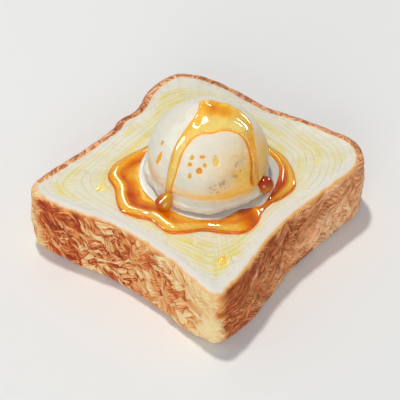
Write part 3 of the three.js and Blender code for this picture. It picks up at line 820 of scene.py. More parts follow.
# %% The pool
POOL_EDGE = [
    (-173, 34.6), (-160, 38.3), (-148, 43.8), (-137, 46.1), (-126, 44), (-116, 45.7), (-107, 46.8),
    (-98, 43.8), (-90, 41), (-75, 43.3), (-65, 40.9), (-53, 38.2), (-41, 40.4), (-28, 42.8), (-17, 40),
    (-8, 36), (3, 35), (13, 38), (25, 41), (38, 39.9), (55, 37.7), (72, 34.8), (95, 35.8), (118, 37.8),
    (138, 38), (160, 35.6),
]
POOL_SECTION = [
    (0, 0.32), (0.5, 0.58), (1.6, 0.76), (3.0, 0.93), (4.2, 1.0), (5.8, 0.92), (7.6, 0.76), (10, 0.6),
    (30, 0.52),
]
INNER_EDGE, INNER_EDGE_FROM = 0.45, 0.75
POOL_LAP, POOL_NARROWEST = 0.2, 0.6
POOL_STEPS = 720
POOL_COLUMNS, UNDER_COLUMNS, UNDER_SPAN = 30, 8, (0.05, 0.95)
RIM_CROWDING = 1.6
SUNK = 0.5
pool_round, pool_out = np.array(POOL_EDGE, float).T
pool_corners = polar(np.radians(pool_round), pool_out, 0 * pool_out)
pool_edge, _ = even_steps(curve_through(pool_corners, closed=True), POOL_STEPS, closed=True)
pool_turn = np.arctan2(pool_edge[:, 1], pool_edge[:, 0])[:, None]
pool_outer = np.hypot(pool_edge[:, 0], pool_edge[:, 1])[:, None]
pool_inner = melt_reach(pool_turn) - POOL_LAP
pool_thick = POOL_THICKNESS * smoothstep(pool_outer - pool_inner, -POOL_FULL_WIDTH / 4, POOL_FULL_WIDTH)
pool_width = np.maximum(pool_outer - pool_inner, POOL_NARROWEST)
to_rim = np.linspace(1, 0, POOL_COLUMNS)[None, :] ** RIM_CROWDING
rim_off = pool_width * to_rim
pool_high = smooth_stops(POOL_SECTION, rim_off)
pool_high += (INNER_EDGE - pool_high) * smoothstep(to_rim, INNER_EDGE_FROM, 1.0)
back_under = np.linspace(*UNDER_SPAN, UNDER_COLUMNS)[None, :]
pool_off = np.hstack([rim_off, pool_width * back_under])
pool_high = np.hstack([pool_high * pool_thick, np.full((POOL_STEPS, UNDER_COLUMNS), -SUNK)])
pool_rings = polar(pool_turn, pool_outer - pool_off, pool_high)
print("pool reaches, mm:", round(float(pool_outer.max()), 1))

# %% The sheet over the ball and its two runs
RUN_EDGES = np.array(
    [
        (-92.5, 100, -88.5, 100), (-91.5, 84, -85, 82), (-93, 66, -83, 66), (-96, 46, -82, 47),
        (-98, 26, -76, 34), (-138, 9, -61, 27), (152, 18, -42, 26.5), (103, 17, -22, 26),
        (68, 27, -8, 29), (44, 39.5, 3, 37), (21, 49, 4.5, 46), (7.5, 63, -1.5, 62), (2, 77, -7, 76),
        (0.5, 85, -7.5, 84), (-1.8, 90, -5, 90),
    ]
)
RUN_TIP_FROM, RUN_TIP_THICKNESS = 0.94, 0.45
RUN_RAISED, RUN_SUNK = 0.3, SUNK + 0.4
RUN_SPAN_STEPS, RUN_COLUMNS, RUN_UNDER_COLUMNS = 28, 33, 11
KNOB_PLACE, KNOB_THICKNESS = (-165, 4.5, 5.6), 2.6
THIN_SHARE, THIN_RUN_WIDTHS, THIN_MIDDLE, THIN_SPREAD = 0.55, (7, 15), 0.52, 0.2
outer_line, inner_line = (
    curve_through(direction(*np.radians(RUN_EDGES[:, k : k + 2].T)), closed=False, per_span=RUN_SPAN_STEPS)
    for k in (0, 2)
)
run_along = np.linspace(0, 1, len(outer_line))[:, None]
across_over = (1 - np.cos(np.linspace(0, math.pi, RUN_COLUMNS))) / 2
across_under = np.linspace(1, 0, RUN_UNDER_COLUMNS)[1:-1]
across = np.concatenate([across_over, across_under])[None, :]
lift_over = np.sqrt(np.maximum(0, 1 - (2 * across_over - 1) ** 4))
lift = np.concatenate([lift_over, 0 * across_under])[None, :]
towards = outer_line[:, None] + (inner_line - outer_line)[:, None] * across[..., None]
towards /= np.linalg.norm(towards, axis=-1, keepdims=True)
run_width = BALL_RADIUS * np.linalg.norm(outer_line - inner_line, axis=1)[:, None]
thin_middle = THIN_SHARE * smoothstep(run_width, *THIN_RUN_WIDTHS)
thin_middle = thin_middle * np.exp(-(((across - THIN_MIDDLE) / THIN_SPREAD) ** 2))
run_thick = RUN_THICKNESS * (1 - thin_middle) + KNOB_THICKNESS * near(towards, *KNOB_PLACE)
taper = 1 + (RUN_TIP_THICKNESS - 1) * smoothstep(run_along, RUN_TIP_FROM, 1)
run_turn = np.arctan2(towards[..., 1], towards[..., 0])
run_down = np.arccos(np.clip(towards[..., 2], -1, 1))
run_rings = on_cream(run_turn, run_down, RUN_RAISED + run_thick * lift * taper - RUN_SUNK * (lift <= 0))
run_poles = np.stack([run_rings[0].mean(0), run_rings[-1].mean(0)])
print("honey on the ball:", run_rings.shape)

# %% Shape of the large drops below the runs
POOL_BEAD = ((-89.3, 31.8, 4.7), np.array([0.4, 0.5, 0.46]) * BEAD_WIDTH)
SKIRT_BEAD = ((12.0, 28.8, 5.35), np.array([0.5, 0.5, 0.5]) * BEAD_WIDTH)
BEAD_STEPS, BEAD_RINGS = 48, 26
NECK_FROM, NECK_NARROWS, NECK_DRAWN = 0.1, 0.35, np.array([-2.6, 1.2, 2.8])


def unit_ball(steps, rings):
    """Points of a ball of radius 1 in the order of a skin's: rings from the bottom up, then the two poles."""
    turn = np.arange(steps)[None, :] / steps * TAU
    down = math.pi * (1 - np.linspace(0, 1, rings + 2)[1:-1, None])
    return np.concatenate([direction(turn, down).reshape(-1, 3), [[0, 0, -1], [0, 0, 1]]])


def bead_rings(place, halves, neck):
    """A drop: a stretched ball whose upper part narrows and is drawn up, and back to the scoop, by neck."""
    ball = unit_ball(BEAD_STEPS, BEAD_RINGS)
    rise = smoothstep(ball[:, 2], NECK_FROM, 1.0)
    shaped = ball * halves * (1 - NECK_NARROWS * neck * rise)[:, None]
    shaped += neck * rise[:, None] * NECK_DRAWN
    turn_out = math.radians(place[0])
    outwards = np.array([math.cos(turn_out), math.sin(turn_out), 0])
    sideways = np.array([-math.sin(turn_out), math.cos(turn_out), 0])
    placed = shaped @ np.stack([outwards, sideways, [0, 0, 1]]) + polar(turn_out, *place[1:])
    return placed[:-2].reshape(BEAD_RINGS, BEAD_STEPS, 3), placed[-2:]


honey_parts = [skin(pool_rings[:, ::-1]), skin(run_rings, run_poles)]
beads = [skin(*bead_rings(*POOL_BEAD, neck=1.0)), skin(*bead_rings(*SKIRT_BEAD, neck=0.0))]
print("parts of the honey:", len(honey_parts), "and large drops:", len(beads))

# %% Melt the parts of the honey together
VOXEL = 0.34
SMOOTH_FACTOR, SMOOTH_ROUNDS = 0.5, 10


def joined(parts):
    """One vertex list and one face list for several skins."""
    starts = np.cumsum([0] + [len(part[0]) for part in parts[:-1]])
    return (
        np.vstack([part[0] for part in parts]),
        np.vstack([part[1] + start for part, start in zip(parts, starts)]),
        np.vstack([part[2] + start for part, start in zip(parts, starts)]),
    )


def bake_modifiers(piece):
    """Replaces the piece's mesh by what its modifiers make of it."""
    made = bpy.data.meshes.new_from_object(piece.evaluated_get(bpy.context.evaluated_depsgraph_get()))
    old = piece.data
    piece.modifiers.clear()
    piece.data = made
    bpy.data.meshes.remove(old)
    made.name = piece.name


vertices, quads, triangles = joined(honey_parts)
honey = new_piece("honey_poured", vertices + SCOOP_PLACE, quads, triangles)
melt_together = honey.modifiers.new("melt together", "REMESH")
melt_together.mode = "VOXEL"
melt_together.voxel_size = VOXEL * MM
melt_together.use_smooth_shade = True
soften = honey.modifiers.new("soften", "SMOOTH")
soften.factor = SMOOTH_FACTOR
soften.iterations = SMOOTH_ROUNDS
bake_modifiers(honey)
honey_at = np.empty(len(honey.data.vertices) * 3, np.float32)
honey.data.vertices.foreach_get("co", honey_at)
honey_at = honey_at.reshape(-1, 3) / MM - SCOOP_PLACE
print("honey points:", len(honey_at), "lowest, mm:", round(float(honey_at[:, 2].min()), 2))

# %% [markdown]
# Honey is pale where it is thin and deep amber where it is thick. A clear shader with real absorption would
# do this by itself, but slowly and with noise. Here each point stores how deep its amber is, worked out from
# where it lies, and painted light and shade go into the same number. The pool is golden along its rolled rim,
# a painted glow of the light that comes through it, and deep at its very edge, a painted dark outline. It is
# deeper in its flat, and reddest on the right, the side away from the light, as painted shade. The sheet on
# the ball is golden in its outer half and pale towards its inner edge. It is deeper along both edges, where
# its surface turns steeply, and beside the knob and down the right run, all painted shade.

# %% Where each point of the honey lies
POOL_TOP = (2.6, 4.2)
CLOUD_SIZE = [6, 6, 20]
FLOWS_ROUND, FLOW_WIDTH = 3, 2.2
LOBE_NARROWEST = 0.5
facing = np.empty(len(honey_at) * 3, np.float32)
honey.data.vertices.foreach_get("normal", facing)
facing = facing.reshape(-1, 3)
honey_turn = np.arctan2(honey_at[:, 1], honey_at[:, 0])
honey_out = np.hypot(honey_at[:, 0], honey_at[:, 1])
order = np.argsort(pool_turn[:, 0])
reach_here = np.interp(honey_turn, pool_turn[order, 0], pool_outer[order, 0], period=TAU)
inner_here = melt_reach(honey_turn)
rim_here = np.maximum(reach_here - honey_out, 0)
pool_across = np.clip((honey_out - inner_here) / np.maximum(reach_here - inner_here, LOBE_NARROWEST), 0, 1)
in_pool = 1 - smoothstep(honey_at[:, 2], *POOL_TOP)
cloud = layered_noise(honey_at / CLOUD_SIZE, seed=151, layers=3)
flow = lattice_noise(np.stack([honey_turn * FLOWS_ROUND, rim_here / FLOW_WIDTH], -1), seed=157)
print("points in the pool:", int((in_pool > 0.5).sum()))

# %% How deep the amber of the pool is
# Painted light and shade in the pool: golden along the rolled rim where light comes through it, and deep at
# its very edge as a dark outline.
POOL_DEPTHS = [
    (0, 0.85), (0.5, 0.8), (1.1, 0.22), (3.0, 0.07), (3.9, 0.16), (5.2, 0.46), (6.5, 0.7), (8.4, 0.64),
    (10.5, 0.34), (13, 0.14), (30, 0.14),
]
FLOW_SHARE, FLOW_CLOUD, FLOW_STARTS = 0.3, 0.5, (3.5, 6)
INNER_HALF = (0.35, 0.75)
# Painted shade: the pool is deepest on its right, the side away from the light. That covers the right lobe,
# the neck by the right drop and the front right.
SHADED_RIGHT_LOBE, SHADED_NECK, SHADED_FRONT_RIGHT, LEFT_LOBE = (18, 24), (-20, 6), (-46, 16), (-150, 26)
NECK_SHADE, FRONT_RIGHT_SHADE, LEFT_LOBE_DEEPER = 0.85, 0.62, 0.09
flow_share = FLOW_SHARE * smoothstep(rim_here, *FLOW_STARTS)
pool_deep = smooth_stops(POOL_DEPTHS, rim_here) + flow_share * (flow + FLOW_CLOUD * cloud)
inner_half = 1 - smoothstep(pool_across, *INNER_HALF)
pool_deep = np.maximum(pool_deep, bump_at(honey_turn, *SHADED_RIGHT_LOBE) * inner_half)
pool_deep = np.maximum(pool_deep, NECK_SHADE * bump_at(honey_turn, *SHADED_NECK))
pool_deep = np.maximum(pool_deep, FRONT_RIGHT_SHADE * bump_at(honey_turn, *SHADED_FRONT_RIGHT) * inner_half)
pool_deep += LEFT_LOBE_DEEPER * bump_at(honey_turn, *LEFT_LOBE)
print("pool's amber from", round(float(pool_deep.min()), 2), "to", round(float(pool_deep.max()), 2))

# %% How deep the amber of the sheet is
SHEET_DEPTHS = [(0, 0.24), (0.12, 0.2), (0.36, 0.17), (0.6, 0.04), (0.88, 0.02), (1, 0.2)]
# Painted shade on the sheet: deep amber beside the knob and down the right run, on the side away from the
# light.
SHADE_PLACES = [(56, 4, 9, 0.6), (34, 14, 9, 0.45), (9, 48, 9, 0.24), (2, 57, 8, 0.14)]
LEFT_RUN_SIDE, LEFT_RUN_FALL, LEFT_RUN_DEEPER = (-0.1, 0.1), (-0.86, -0.6), 0.08
CLOUD_DEEPER = 0.08
# Painted shade: deeper amber along the sheet's edges, where its surface turns steeply.
STEEP, STEEP_EDGE_SHADE = (0.3, 0.9), 0.4


def angle_to(line, ways):
    """Angle from each unit vector to the nearest point of a line on the ball: the arc cosine of the largest
    product of the vector with every second point's direction."""
    line_ways = (line / np.linalg.norm(line, axis=1, keepdims=True))[::2]
    return np.arccos(np.clip((ways @ line_ways.T).max(1), -1, 1))


from_ball = honey_at - [0, 0, BALL_HEIGHT]
from_ball /= np.linalg.norm(from_ball, axis=1, keepdims=True)
from_outer, from_inner = (angle_to(line, from_ball) for line in (outer_line, inner_line))
sheet_across = from_outer / (from_outer + from_inner)
left_run = smoothstep(-from_ball[:, 0], *LEFT_RUN_SIDE) * smoothstep(-from_ball[:, 2], *LEFT_RUN_FALL)
steep = smoothstep(1 - np.sum(from_ball * facing, 1), *STEEP)
run_deep = (
    smooth_stops(SHEET_DEPTHS, sheet_across)
    + LEFT_RUN_DEEPER * left_run
    + CLOUD_DEEPER * cloud
    + STEEP_EDGE_SHADE * steep
)
for round_, down, spread, deep in SHADE_PLACES:
    run_deep = np.maximum(run_deep, deep * near(from_ball, round_, down, spread))
amber = in_pool * pool_deep + (1 - in_pool) * run_deep
mark_points(honey.data, {"amber": np.clip(amber, 0, 1)})
print("amber from", round(float(amber.min()), 2), "to", round(float(amber.max()), 2))

# %% [markdown]
# Drops that stand alone. Small ones lie on the ball and two on the crumb, each a flattened ball turned to
# the surface that it lies on, and together they are one mesh. Two large ones hang below the runs, a
# teardrop on the left and a round one that clings to the skirt on the right. They are a second mesh,
# because they are deeper and less clear: deep where they are thick, and lighter on the side where the light
# that they gather comes out.

# %% Small honey drops
BALL_DROPS = [
    (-110, 66, 2.2, 6.5), (-117, 53, 1.8, 2.6), (-42, 52, 3.0, 5.0), (-60, 61, 3.0, 3.0), (-70, 50, 2.0, 2.6),
    (-58, 48, 2.6, 1.9), (-71, 56.5, 2.2, 2.0), (-54.5, 55.5, 1.7, 2.2), (-69, 67, 1.8, 2.8),
]
BALL_DROP_HEIGHT, BALL_DROP_TAPER = 0.7, 0.25
CRUMB_DROPS = [(44.0, -39.5, 5.0), (-28.2, -39.2, 3.6)]
CRUMB_DROP_SHAPE, CRUMB_DROP_TAPER = np.array([1.4, 0.9, 0.75]), 0.8
CRUMB_DROP_TAIL = np.array([0.35, -0.937, 0.0])
UP = np.array([0.0, 0.0, 1.0])
DROP_AMBER = [0.28, 0.24, 0.05, 0.42, 0.2, 0.36, 0.3, 0.26, 0.22, 0.08, 0.0]
DROP_STEPS, DROP_RINGS = 28, 15
TAPER_FROM = -0.3


def drop_skin(centre, normal, downhill, length, width, height, taper):
    """A flattened ball with its axes along downhill, across it and the surface's normal. Its uphill end is
    narrowed by taper, as a drop's tail is."""
    ball = unit_ball(DROP_STEPS, DROP_RINGS)
    ball[:, 1:] *= 1 - taper * smoothstep(-ball[:, :1], TAPER_FROM, 1.0)
    axes = np.stack([downhill * length / 2, np.cross(normal, downhill) * width / 2, normal * height / 2])
    placed = ball @ axes + centre
    return skin(placed[:-2].reshape(DROP_RINGS, DROP_STEPS, 3), placed[-2:])


drop_parts = []
for round_, down_, width, length in BALL_DROPS:
    turn, down = np.radians([[round_], [down_]])
    normal = direction(turn, down)[0]
    downhill = direction(turn, down + math.pi / 2)[0]
    centre = on_cream(turn, down)[0] + SCOOP_PLACE
    drop_size = length, width, width * BALL_DROP_HEIGHT
    drop_parts.append(drop_skin(centre, normal, downhill, *drop_size, BALL_DROP_TAPER))
for x, y, width in CRUMB_DROPS:
    lying = np.array([x, y, CRUMB_Z])
    drop_size = width * CRUMB_DROP_SHAPE
    drop_parts.append(drop_skin(lying, UP, CRUMB_DROP_TAIL, *drop_size, CRUMB_DROP_TAPER))
drop_amber = np.repeat(DROP_AMBER, [len(part[0]) for part in drop_parts])
drops = new_piece("honey_drops", *joined(drop_parts), {"amber": drop_amber})

# %% Large honey drops below the runs
BEAD_AMBER = [(0.72, 0.37), (0.95, 0.45)]
NO_TAIL = (90, 99)
BEAD_TAILS = [(1.8, 5.0), NO_TAIL]
TAIL_AMBER = 0.3
LIGHT_LEAVES = np.array([[0.88, 0.05, 0.47], [0.75, -0.4, -0.53]])
LIGHT_SPREAD = (0.1, 0.95)
bead_parts, bead_amber = [], []
for bead, (place, _), (deep, loss), tail, leaves in zip(
    beads, (POOL_BEAD, SKIRT_BEAD), BEAD_AMBER, BEAD_TAILS, LIGHT_LEAVES
):
    way = bead[0] - polar(math.radians(place[0]), *place[1:])
    tail_share = smoothstep(way[:, 2], *tail)
    way /= np.linalg.norm(way, axis=1, keepdims=True)
    body_amber = deep - loss * smoothstep(way @ leaves, *LIGHT_SPREAD)
    bead_amber.append(body_amber + (TAIL_AMBER - body_amber) * tail_share)
    print("bead from", bead[0].min(0).round(1), "to", bead[0].max(0).round(1))
    bead_parts.append((bead[0] + SCOOP_PLACE, *bead[1:]))
large_drops = new_piece("honey_beads", *joined(bead_parts), {"amber": np.concatenate(bead_amber)})

# %% [markdown]
# Finishes. Colours are written as they look on a screen and turned into the linear light that shaders use.
# A few small helpers keep the node trees readable. One adds a node with its settings. The others mix
# colours, add and multiply numbers, and draw noise, lines and ramps, and each gives back the socket to go
# on from.

# %% Node helpers


def tone(red, green, blue):
    """A screen colour, 0 to 255, as linear light: c/12.92 in the deep shades, elsewhere
    ((c + 0.055)/1.055)^2.4."""
    screen = np.array([red, green, blue]) / 255
    linear = np.where(screen <= 0.04045, screen / 12.92, ((screen + 0.055) / 1.055) ** 2.4)
    return (*(float(c) for c in linear), 1.0)


def add_node(tree, kind, **settings):
    """A node of a kind: settings that name a socket set its value, the others set the node itself."""
    node = tree.nodes.new(kind)
    for key, value in settings.items():
        title = key.replace("_", " ").title()
        if title in node.inputs:
            node.inputs[title].default_value = value
        else:
            setattr(node, key, value)
    return node


def on_points(tree, title, output="Fac"):
    """Output socket of a number, or with Vector of a triple, that the mesh stores on its points."""
    return add_node(tree, "ShaderNodeAttribute", attribute_name=title).outputs[output]


def mixed(tree, factor, first, second):
    """Output socket of a colour mix. A colour may be a socket or a plain colour."""
    node = add_node(tree, "ShaderNodeMix", data_type="RGBA")
    for socket, value in ((node.inputs[0], factor), (node.inputs[6], first), (node.inputs[7], second)):
        if isinstance(value, bpy.types.NodeSocket):
            tree.links.new(value, socket)
        else:
            socket.default_value = value
    return node.outputs[2]


def sum_of(tree, start, *terms):
    """Output socket of a plain number plus number sockets, each times its weight."""
    total = start
    for socket, weight in terms:
        node = add_node(tree, "ShaderNodeMath", operation="MULTIPLY_ADD")
        tree.links.new(socket, node.inputs[0])
        node.inputs[1].default_value = weight
        if isinstance(total, bpy.types.NodeSocket):
            tree.links.new(total, node.inputs[2])
        else:
            node.inputs[2].default_value = total
        total = node.outputs[0]
    return total


def product(tree, first, second):
    """Output socket of one number socket times another."""
    node = add_node(tree, "ShaderNodeMath", operation="MULTIPLY")
    tree.links.new(first, node.inputs[0])
    tree.links.new(second, node.inputs[1])
    return node.outputs[0]


def stretched(tree, place, stretch):
    """Output socket of a triple socket times a plain triple, axis by axis."""
    node = add_node(tree, "ShaderNodeVectorMath", operation="MULTIPLY")
    tree.links.new(place, node.inputs[0])
    node.inputs[1].default_value = stretch
    return node.outputs[0]


def drawn_noise(tree, place, stretch):
    """Output socket of noise over a triple socket, with that many cells for each unit along each axis."""
    texture = add_node(tree, "ShaderNodeTexNoise", scale=1.0, detail=1.0)
    tree.links.new(stretched(tree, place, stretch), texture.inputs["Vector"])
    return texture.outputs["Fac"]


def steps_between(tree, value, low, high):
    """Output socket that climbs from 0 to 1 while the value goes from low to high."""
    node = add_node(tree, "ShaderNodeMapRange", interpolation_type="SMOOTHSTEP")
    tree.links.new(value, node.inputs["Value"])
    node.inputs["From Min"].default_value = low
    node.inputs["From Max"].default_value = high
    return node.outputs["Result"]


def thin_lines(tree, value, width):
    """Output socket that is 1 where the value crosses a half and 0 once it is off by the width."""
    off = add_node(tree, "ShaderNodeMath", operation="ABSOLUTE")
    tree.links.new(sum_of(tree, -0.5, (value, 1.0)), off.inputs[0])
    return steps_between(tree, off.outputs[0], width, 0.0)


def ramp(tree, factor, stops):
    """Output socket of a colour ramp through (place, colour) stops."""
    node = add_node(tree, "ShaderNodeValToRGB")
    while len(node.color_ramp.elements) < len(stops):
        node.color_ramp.elements.new(0.5)
    for element, (place, colour) in zip(node.color_ramp.elements, stops):
        element.position = place
        element.color = colour
    tree.links.new(factor, node.inputs[0])
    return node.outputs[0]


def new_finish(name):
    """A material with a Principled shader: returns the material, its tree and the shader."""
    material = bpy.data.materials.new(name)
    material.use_nodes = True
    tree = material.node_tree
    return material, tree, next(n for n in tree.nodes if n.type == "BSDF_PRINCIPLED")


print("node helpers ready")

# %% [markdown]
# Bread and ice cream share one effect: a fine grain, finer than any mesh can hold, that both roughens the
# light and mottles the colour. It is a node group, built once and placed in each finish with its own scale.

# %% The fine grain group
BROAD_TO_FINE = 0.22
grain_group = bpy.data.node_groups.new("fine_grain", "ShaderNodeTree")
grain_group.interface.new_socket("Scale", in_out="INPUT", socket_type="NodeSocketFloat")
grain_group.interface.new_socket("Height", in_out="OUTPUT", socket_type="NodeSocketFloat")
grain_group.interface.new_socket("Mottle", in_out="OUTPUT", socket_type="NodeSocketFloat")
grain_in = add_node(grain_group, "NodeGroupInput")
grain_out = add_node(grain_group, "NodeGroupOutput")
grain_place = add_node(grain_group, "ShaderNodeTexCoord")
grain_fine = add_node(grain_group, "ShaderNodeTexNoise", detail=6.0, roughness=0.65)
grain_broad = add_node(grain_group, "ShaderNodeTexNoise", detail=3.0, roughness=0.5)
grain_step = add_node(grain_group, "ShaderNodeMath", operation="MULTIPLY")
grain_step.inputs[1].default_value = BROAD_TO_FINE
grain_group.links.new(grain_in.outputs["Scale"], grain_fine.inputs["Scale"])
grain_group.links.new(grain_in.outputs["Scale"], grain_step.inputs[0])
grain_group.links.new(grain_step.outputs[0], grain_broad.inputs["Scale"])
for texture in (grain_fine, grain_broad):
    grain_group.links.new(grain_place.outputs["Object"], texture.inputs["Vector"])
grain_group.links.new(grain_fine.outputs["Fac"], grain_out.inputs["Height"])
grain_group.links.new(grain_broad.outputs["Fac"], grain_out.inputs["Mottle"])


def grain_of(tree, scale):
    """The grain group in a material: its height and its mottle sockets."""
    node = add_node(tree, "ShaderNodeGroup", node_tree=grain_group)
    node.inputs["Scale"].default_value = scale
    return node.outputs["Height"], node.outputs["Mottle"]


def bump(tree, shader, height, strength, distance):
    """Bends the shader's normal by a height socket, in metres."""
    node = add_node(tree, "ShaderNodeBump")
    node.inputs["Strength"].default_value = strength
    node.inputs["Distance"].default_value = distance
    tree.links.new(height, node.inputs["Height"])
    tree.links.new(node.outputs["Normal"], shader.inputs["Normal"])


print("grain group sockets:", [s.name for s in grain_group.interface.items_tree])

# %% [markdown]
# The shreds of the crust are a node group too, since they are drawn twice, the second time crosswise. A
# Voronoi texture splits the place into cells, stretched along the pull of the dough. Each cell is one shred
# with its own tone, a thin dark line runs where two meet, and strands run along it. The three numbers leave
# as one colour.

# %% The crust's shreds
SHRED_LENGTH, SHRED_WIDTH = 8.0, 1.9
SHRED_LINE = (0.11, 0.02)
STRAND_LENGTH, STRAND_WIDTH = 10.0, 0.7
SHREDS_APART = (20, 20, 20)
shred_group = bpy.data.node_groups.new("crust_shreds", "ShaderNodeTree")
shred_group.interface.new_socket("Place", in_out="INPUT", socket_type="NodeSocketVector")
shred_group.interface.new_socket("Tone Line Strand", in_out="OUTPUT", socket_type="NodeSocketColor")
shred_in = add_node(shred_group, "NodeGroupInput").outputs["Place"]
shred_cell = stretched(shred_group, shred_in, (1 / SHRED_LENGTH, 1 / SHRED_WIDTH, 0.0))
cell_tone, cell_edge = (
    add_node(shred_group, "ShaderNodeTexVoronoi", voronoi_dimensions="2D", feature=feature)
    for feature in ("F1", "DISTANCE_TO_EDGE")
)
for texture in (cell_tone, cell_edge):
    texture.inputs["Scale"].default_value = 1.0
    shred_group.links.new(shred_cell, texture.inputs["Vector"])
tone_parts = add_node(shred_group, "ShaderNodeSeparateColor")
shred_group.links.new(cell_tone.outputs["Color"], tone_parts.inputs[0])
strand_at = add_node(shred_group, "ShaderNodeVectorMath", operation="MULTIPLY_ADD")
shred_group.links.new(shred_in, strand_at.inputs[0])
strand_at.inputs[1].default_value = (1 / STRAND_LENGTH, 1 / STRAND_WIDTH, 0.0)
shred_group.links.new(stretched(shred_group, cell_tone.outputs["Color"], SHREDS_APART), strand_at.inputs[2])
strand_noise = drawn_noise(shred_group, strand_at.outputs[0], (1, 1, 1))
cell_line = steps_between(shred_group, cell_edge.outputs["Distance"], *SHRED_LINE)
shred_out = add_node(shred_group, "ShaderNodeCombineColor")
shred_group.links.new(tone_parts.outputs[0], shred_out.inputs[0])
shred_group.links.new(cell_line, shred_out.inputs[1])
shred_group.links.new(strand_noise, shred_out.inputs[2])
shred_group.links.new(shred_out.outputs[0], add_node(shred_group, "NodeGroupOutput").inputs[0])


def shreds_of(tree, title):
    """The shreds over a place that is stored on the points: the group's one colour."""
    node = add_node(tree, "ShaderNodeGroup", node_tree=shred_group)
    tree.links.new(on_points(tree, title, "Vector"), node.inputs["Place"])
    return node.outputs[0]


print("shred group sockets:", [s.name for s in shred_group.interface.items_tree])

# %% [markdown]
# The bread's finish. The crust goes from pale gold on its ridges to red-brown in its furrows, where painted
# shade darkens it, and each side of the loaf is browned to its own degree. A second ramp, browner in its deep
# tones, serves on the rim and on the sides away from the front. The crumb is warm white, with painted shade
# in its pores. Thin lines run round it where the rolled dough met itself: the whole numbers of a depth that
# grows inwards, drawn out where a broad noise lets them. Between them lie butter-yellow streaks.

# %% Colour of the crust
CRUST_TONES = [
    (0.0, tone(150, 46, 14)), (0.2, tone(203, 86, 30)), (0.42, tone(227, 136, 70)),
    (0.65, tone(238, 181, 115)), (1.0, tone(249, 224, 168)),
]
BROWN_TONES = [
    (0.0, tone(146, 58, 26)), (0.2, tone(188, 102, 50)), (0.42, tone(206, 140, 86)),
    (0.65, tone(250, 174, 122)), (1.0, tone(255, 216, 168)),
]
BREAD_GRAIN = 900.0
CROSSED_STRETCH, CROSSED_LEVELS = (0.07, 0.1, 0), (0.48, 0.53)
STRAND_LINE = 0.04
SHRED_BASE, SHRED_TONE_SHARE, SHRED_LINE_SHARE = -0.34, 0.8, -0.55
STRAND_BASE, STRAND_TONE_SHARE, STRAND_LINE_SHARE = -0.42, 1.0, -0.4
GOLD_BASE, MOTTLE_SHARE = -0.02, 0.12
bread, tree, shader = new_finish("bread")
height, mottle = grain_of(tree, BREAD_GRAIN)
crossed_noise = drawn_noise(tree, on_points(tree, "shred_place", "Vector"), CROSSED_STRETCH)
crosswise = steps_between(tree, crossed_noise, *CROSSED_LEVELS)
shreds_here = mixed(tree, crosswise, shreds_of(tree, "shred_place"), shreds_of(tree, "crossed_place"))
shreds = add_node(tree, "ShaderNodeSeparateColor")
tree.links.new(shreds_here, shreds.inputs[0])
shred_tone, shred_line, strand_tone = shreds.outputs[:3]
strand_line = thin_lines(tree, strand_tone, STRAND_LINE)
shred_gold = sum_of(tree, SHRED_BASE, (shred_tone, SHRED_TONE_SHARE), (shred_line, SHRED_LINE_SHARE))
shred_gold = product(tree, shred_gold, on_points(tree, "shred_contrast"))
strand_gold = sum_of(tree, STRAND_BASE, (strand_tone, STRAND_TONE_SHARE), (strand_line, STRAND_LINE_SHARE))
strand_gold = product(tree, strand_gold, on_points(tree, "strand_contrast"))
gold_terms = (on_points(tree, "gold"), 1.0), (shred_gold, 1.0), (strand_gold, 1.0), (mottle, MOTTLE_SHARE)
gold_here = sum_of(tree, GOLD_BASE, *gold_terms)
crust_colour = ramp(tree, gold_here, CRUST_TONES)
crust_colour = mixed(tree, on_points(tree, "brown"), crust_colour, ramp(tree, gold_here, BROWN_TONES))
print("nodes of the crust:", len(tree.nodes))

# %% Colour of the crumb
CRUMB_WHITE, BUTTER = tone(236, 232, 219), tone(238, 219, 102)
# Painted shade: the pores of the crumb are a little darker and yellower.
LINE_TONE, PORE_SHADE = tone(206, 190, 140), tone(238, 222, 180)
SWIRL_STRETCH = edge_length / TAU / 55
BROAD_SWIRL, BROAD_LEVELS = (0.16, 1.0), (0.36, 0.56)
FINE_SWIRL, FINE_LEVELS = (1.1, 2.5), (0.34, 0.6)
STREAK_BASE, STREAK_SHARE = 0.21, 0.66
LINE_SPACING, LINE_WIDTH, LINE_SHARE = 2.1, 0.09, 0.7
LINE_BEND, LINE_BEND_SWIRL = 3.0, (0.06, 1.0)
LINE_SHOWS, LINE_SHOWS_LEVELS = (0.25, 1.6), (0.36, 0.5)
swirl_at = on_points(tree, "swirl_place", "Vector")


def swirl_noise(inwards_, round_):
    """Noise over the swirl with so many cells for each millimetre inwards, and so much finer round it."""
    return drawn_noise(tree, swirl_at, (SWIRL_STRETCH * round_, SWIRL_STRETCH * round_, inwards_))


broad_swirl = steps_between(tree, swirl_noise(*BROAD_SWIRL), *BROAD_LEVELS)
fine_swirl = steps_between(tree, swirl_noise(*FINE_SWIRL), *FINE_LEVELS)
swirl_share = sum_of(tree, STREAK_BASE, (product(tree, broad_swirl, fine_swirl), STREAK_SHARE))
streaked = product(tree, swirl_share, on_points(tree, "streaks"))
crumb_colour = mixed(tree, streaked, CRUMB_WHITE, BUTTER)
swirl_parts = add_node(tree, "ShaderNodeSeparateXYZ")
tree.links.new(swirl_at, swirl_parts.inputs[0])
depth_term, bend_term = (swirl_parts.outputs[2], 1 / LINE_SPACING), (swirl_noise(*LINE_BEND_SWIRL), LINE_BEND)
turns_in = add_node(tree, "ShaderNodeMath", operation="FRACT")
tree.links.new(sum_of(tree, 2.0, depth_term, bend_term), turns_in.inputs[0])
line_swirl = thin_lines(tree, turns_in.outputs[0], LINE_WIDTH)
line_swirl = product(tree, line_swirl, steps_between(tree, swirl_noise(*LINE_SHOWS), *LINE_SHOWS_LEVELS))
line_swirl = product(tree, line_swirl, on_points(tree, "lined"))
crumb_colour = mixed(tree, sum_of(tree, 0.0, (line_swirl, LINE_SHARE)), crumb_colour, LINE_TONE)
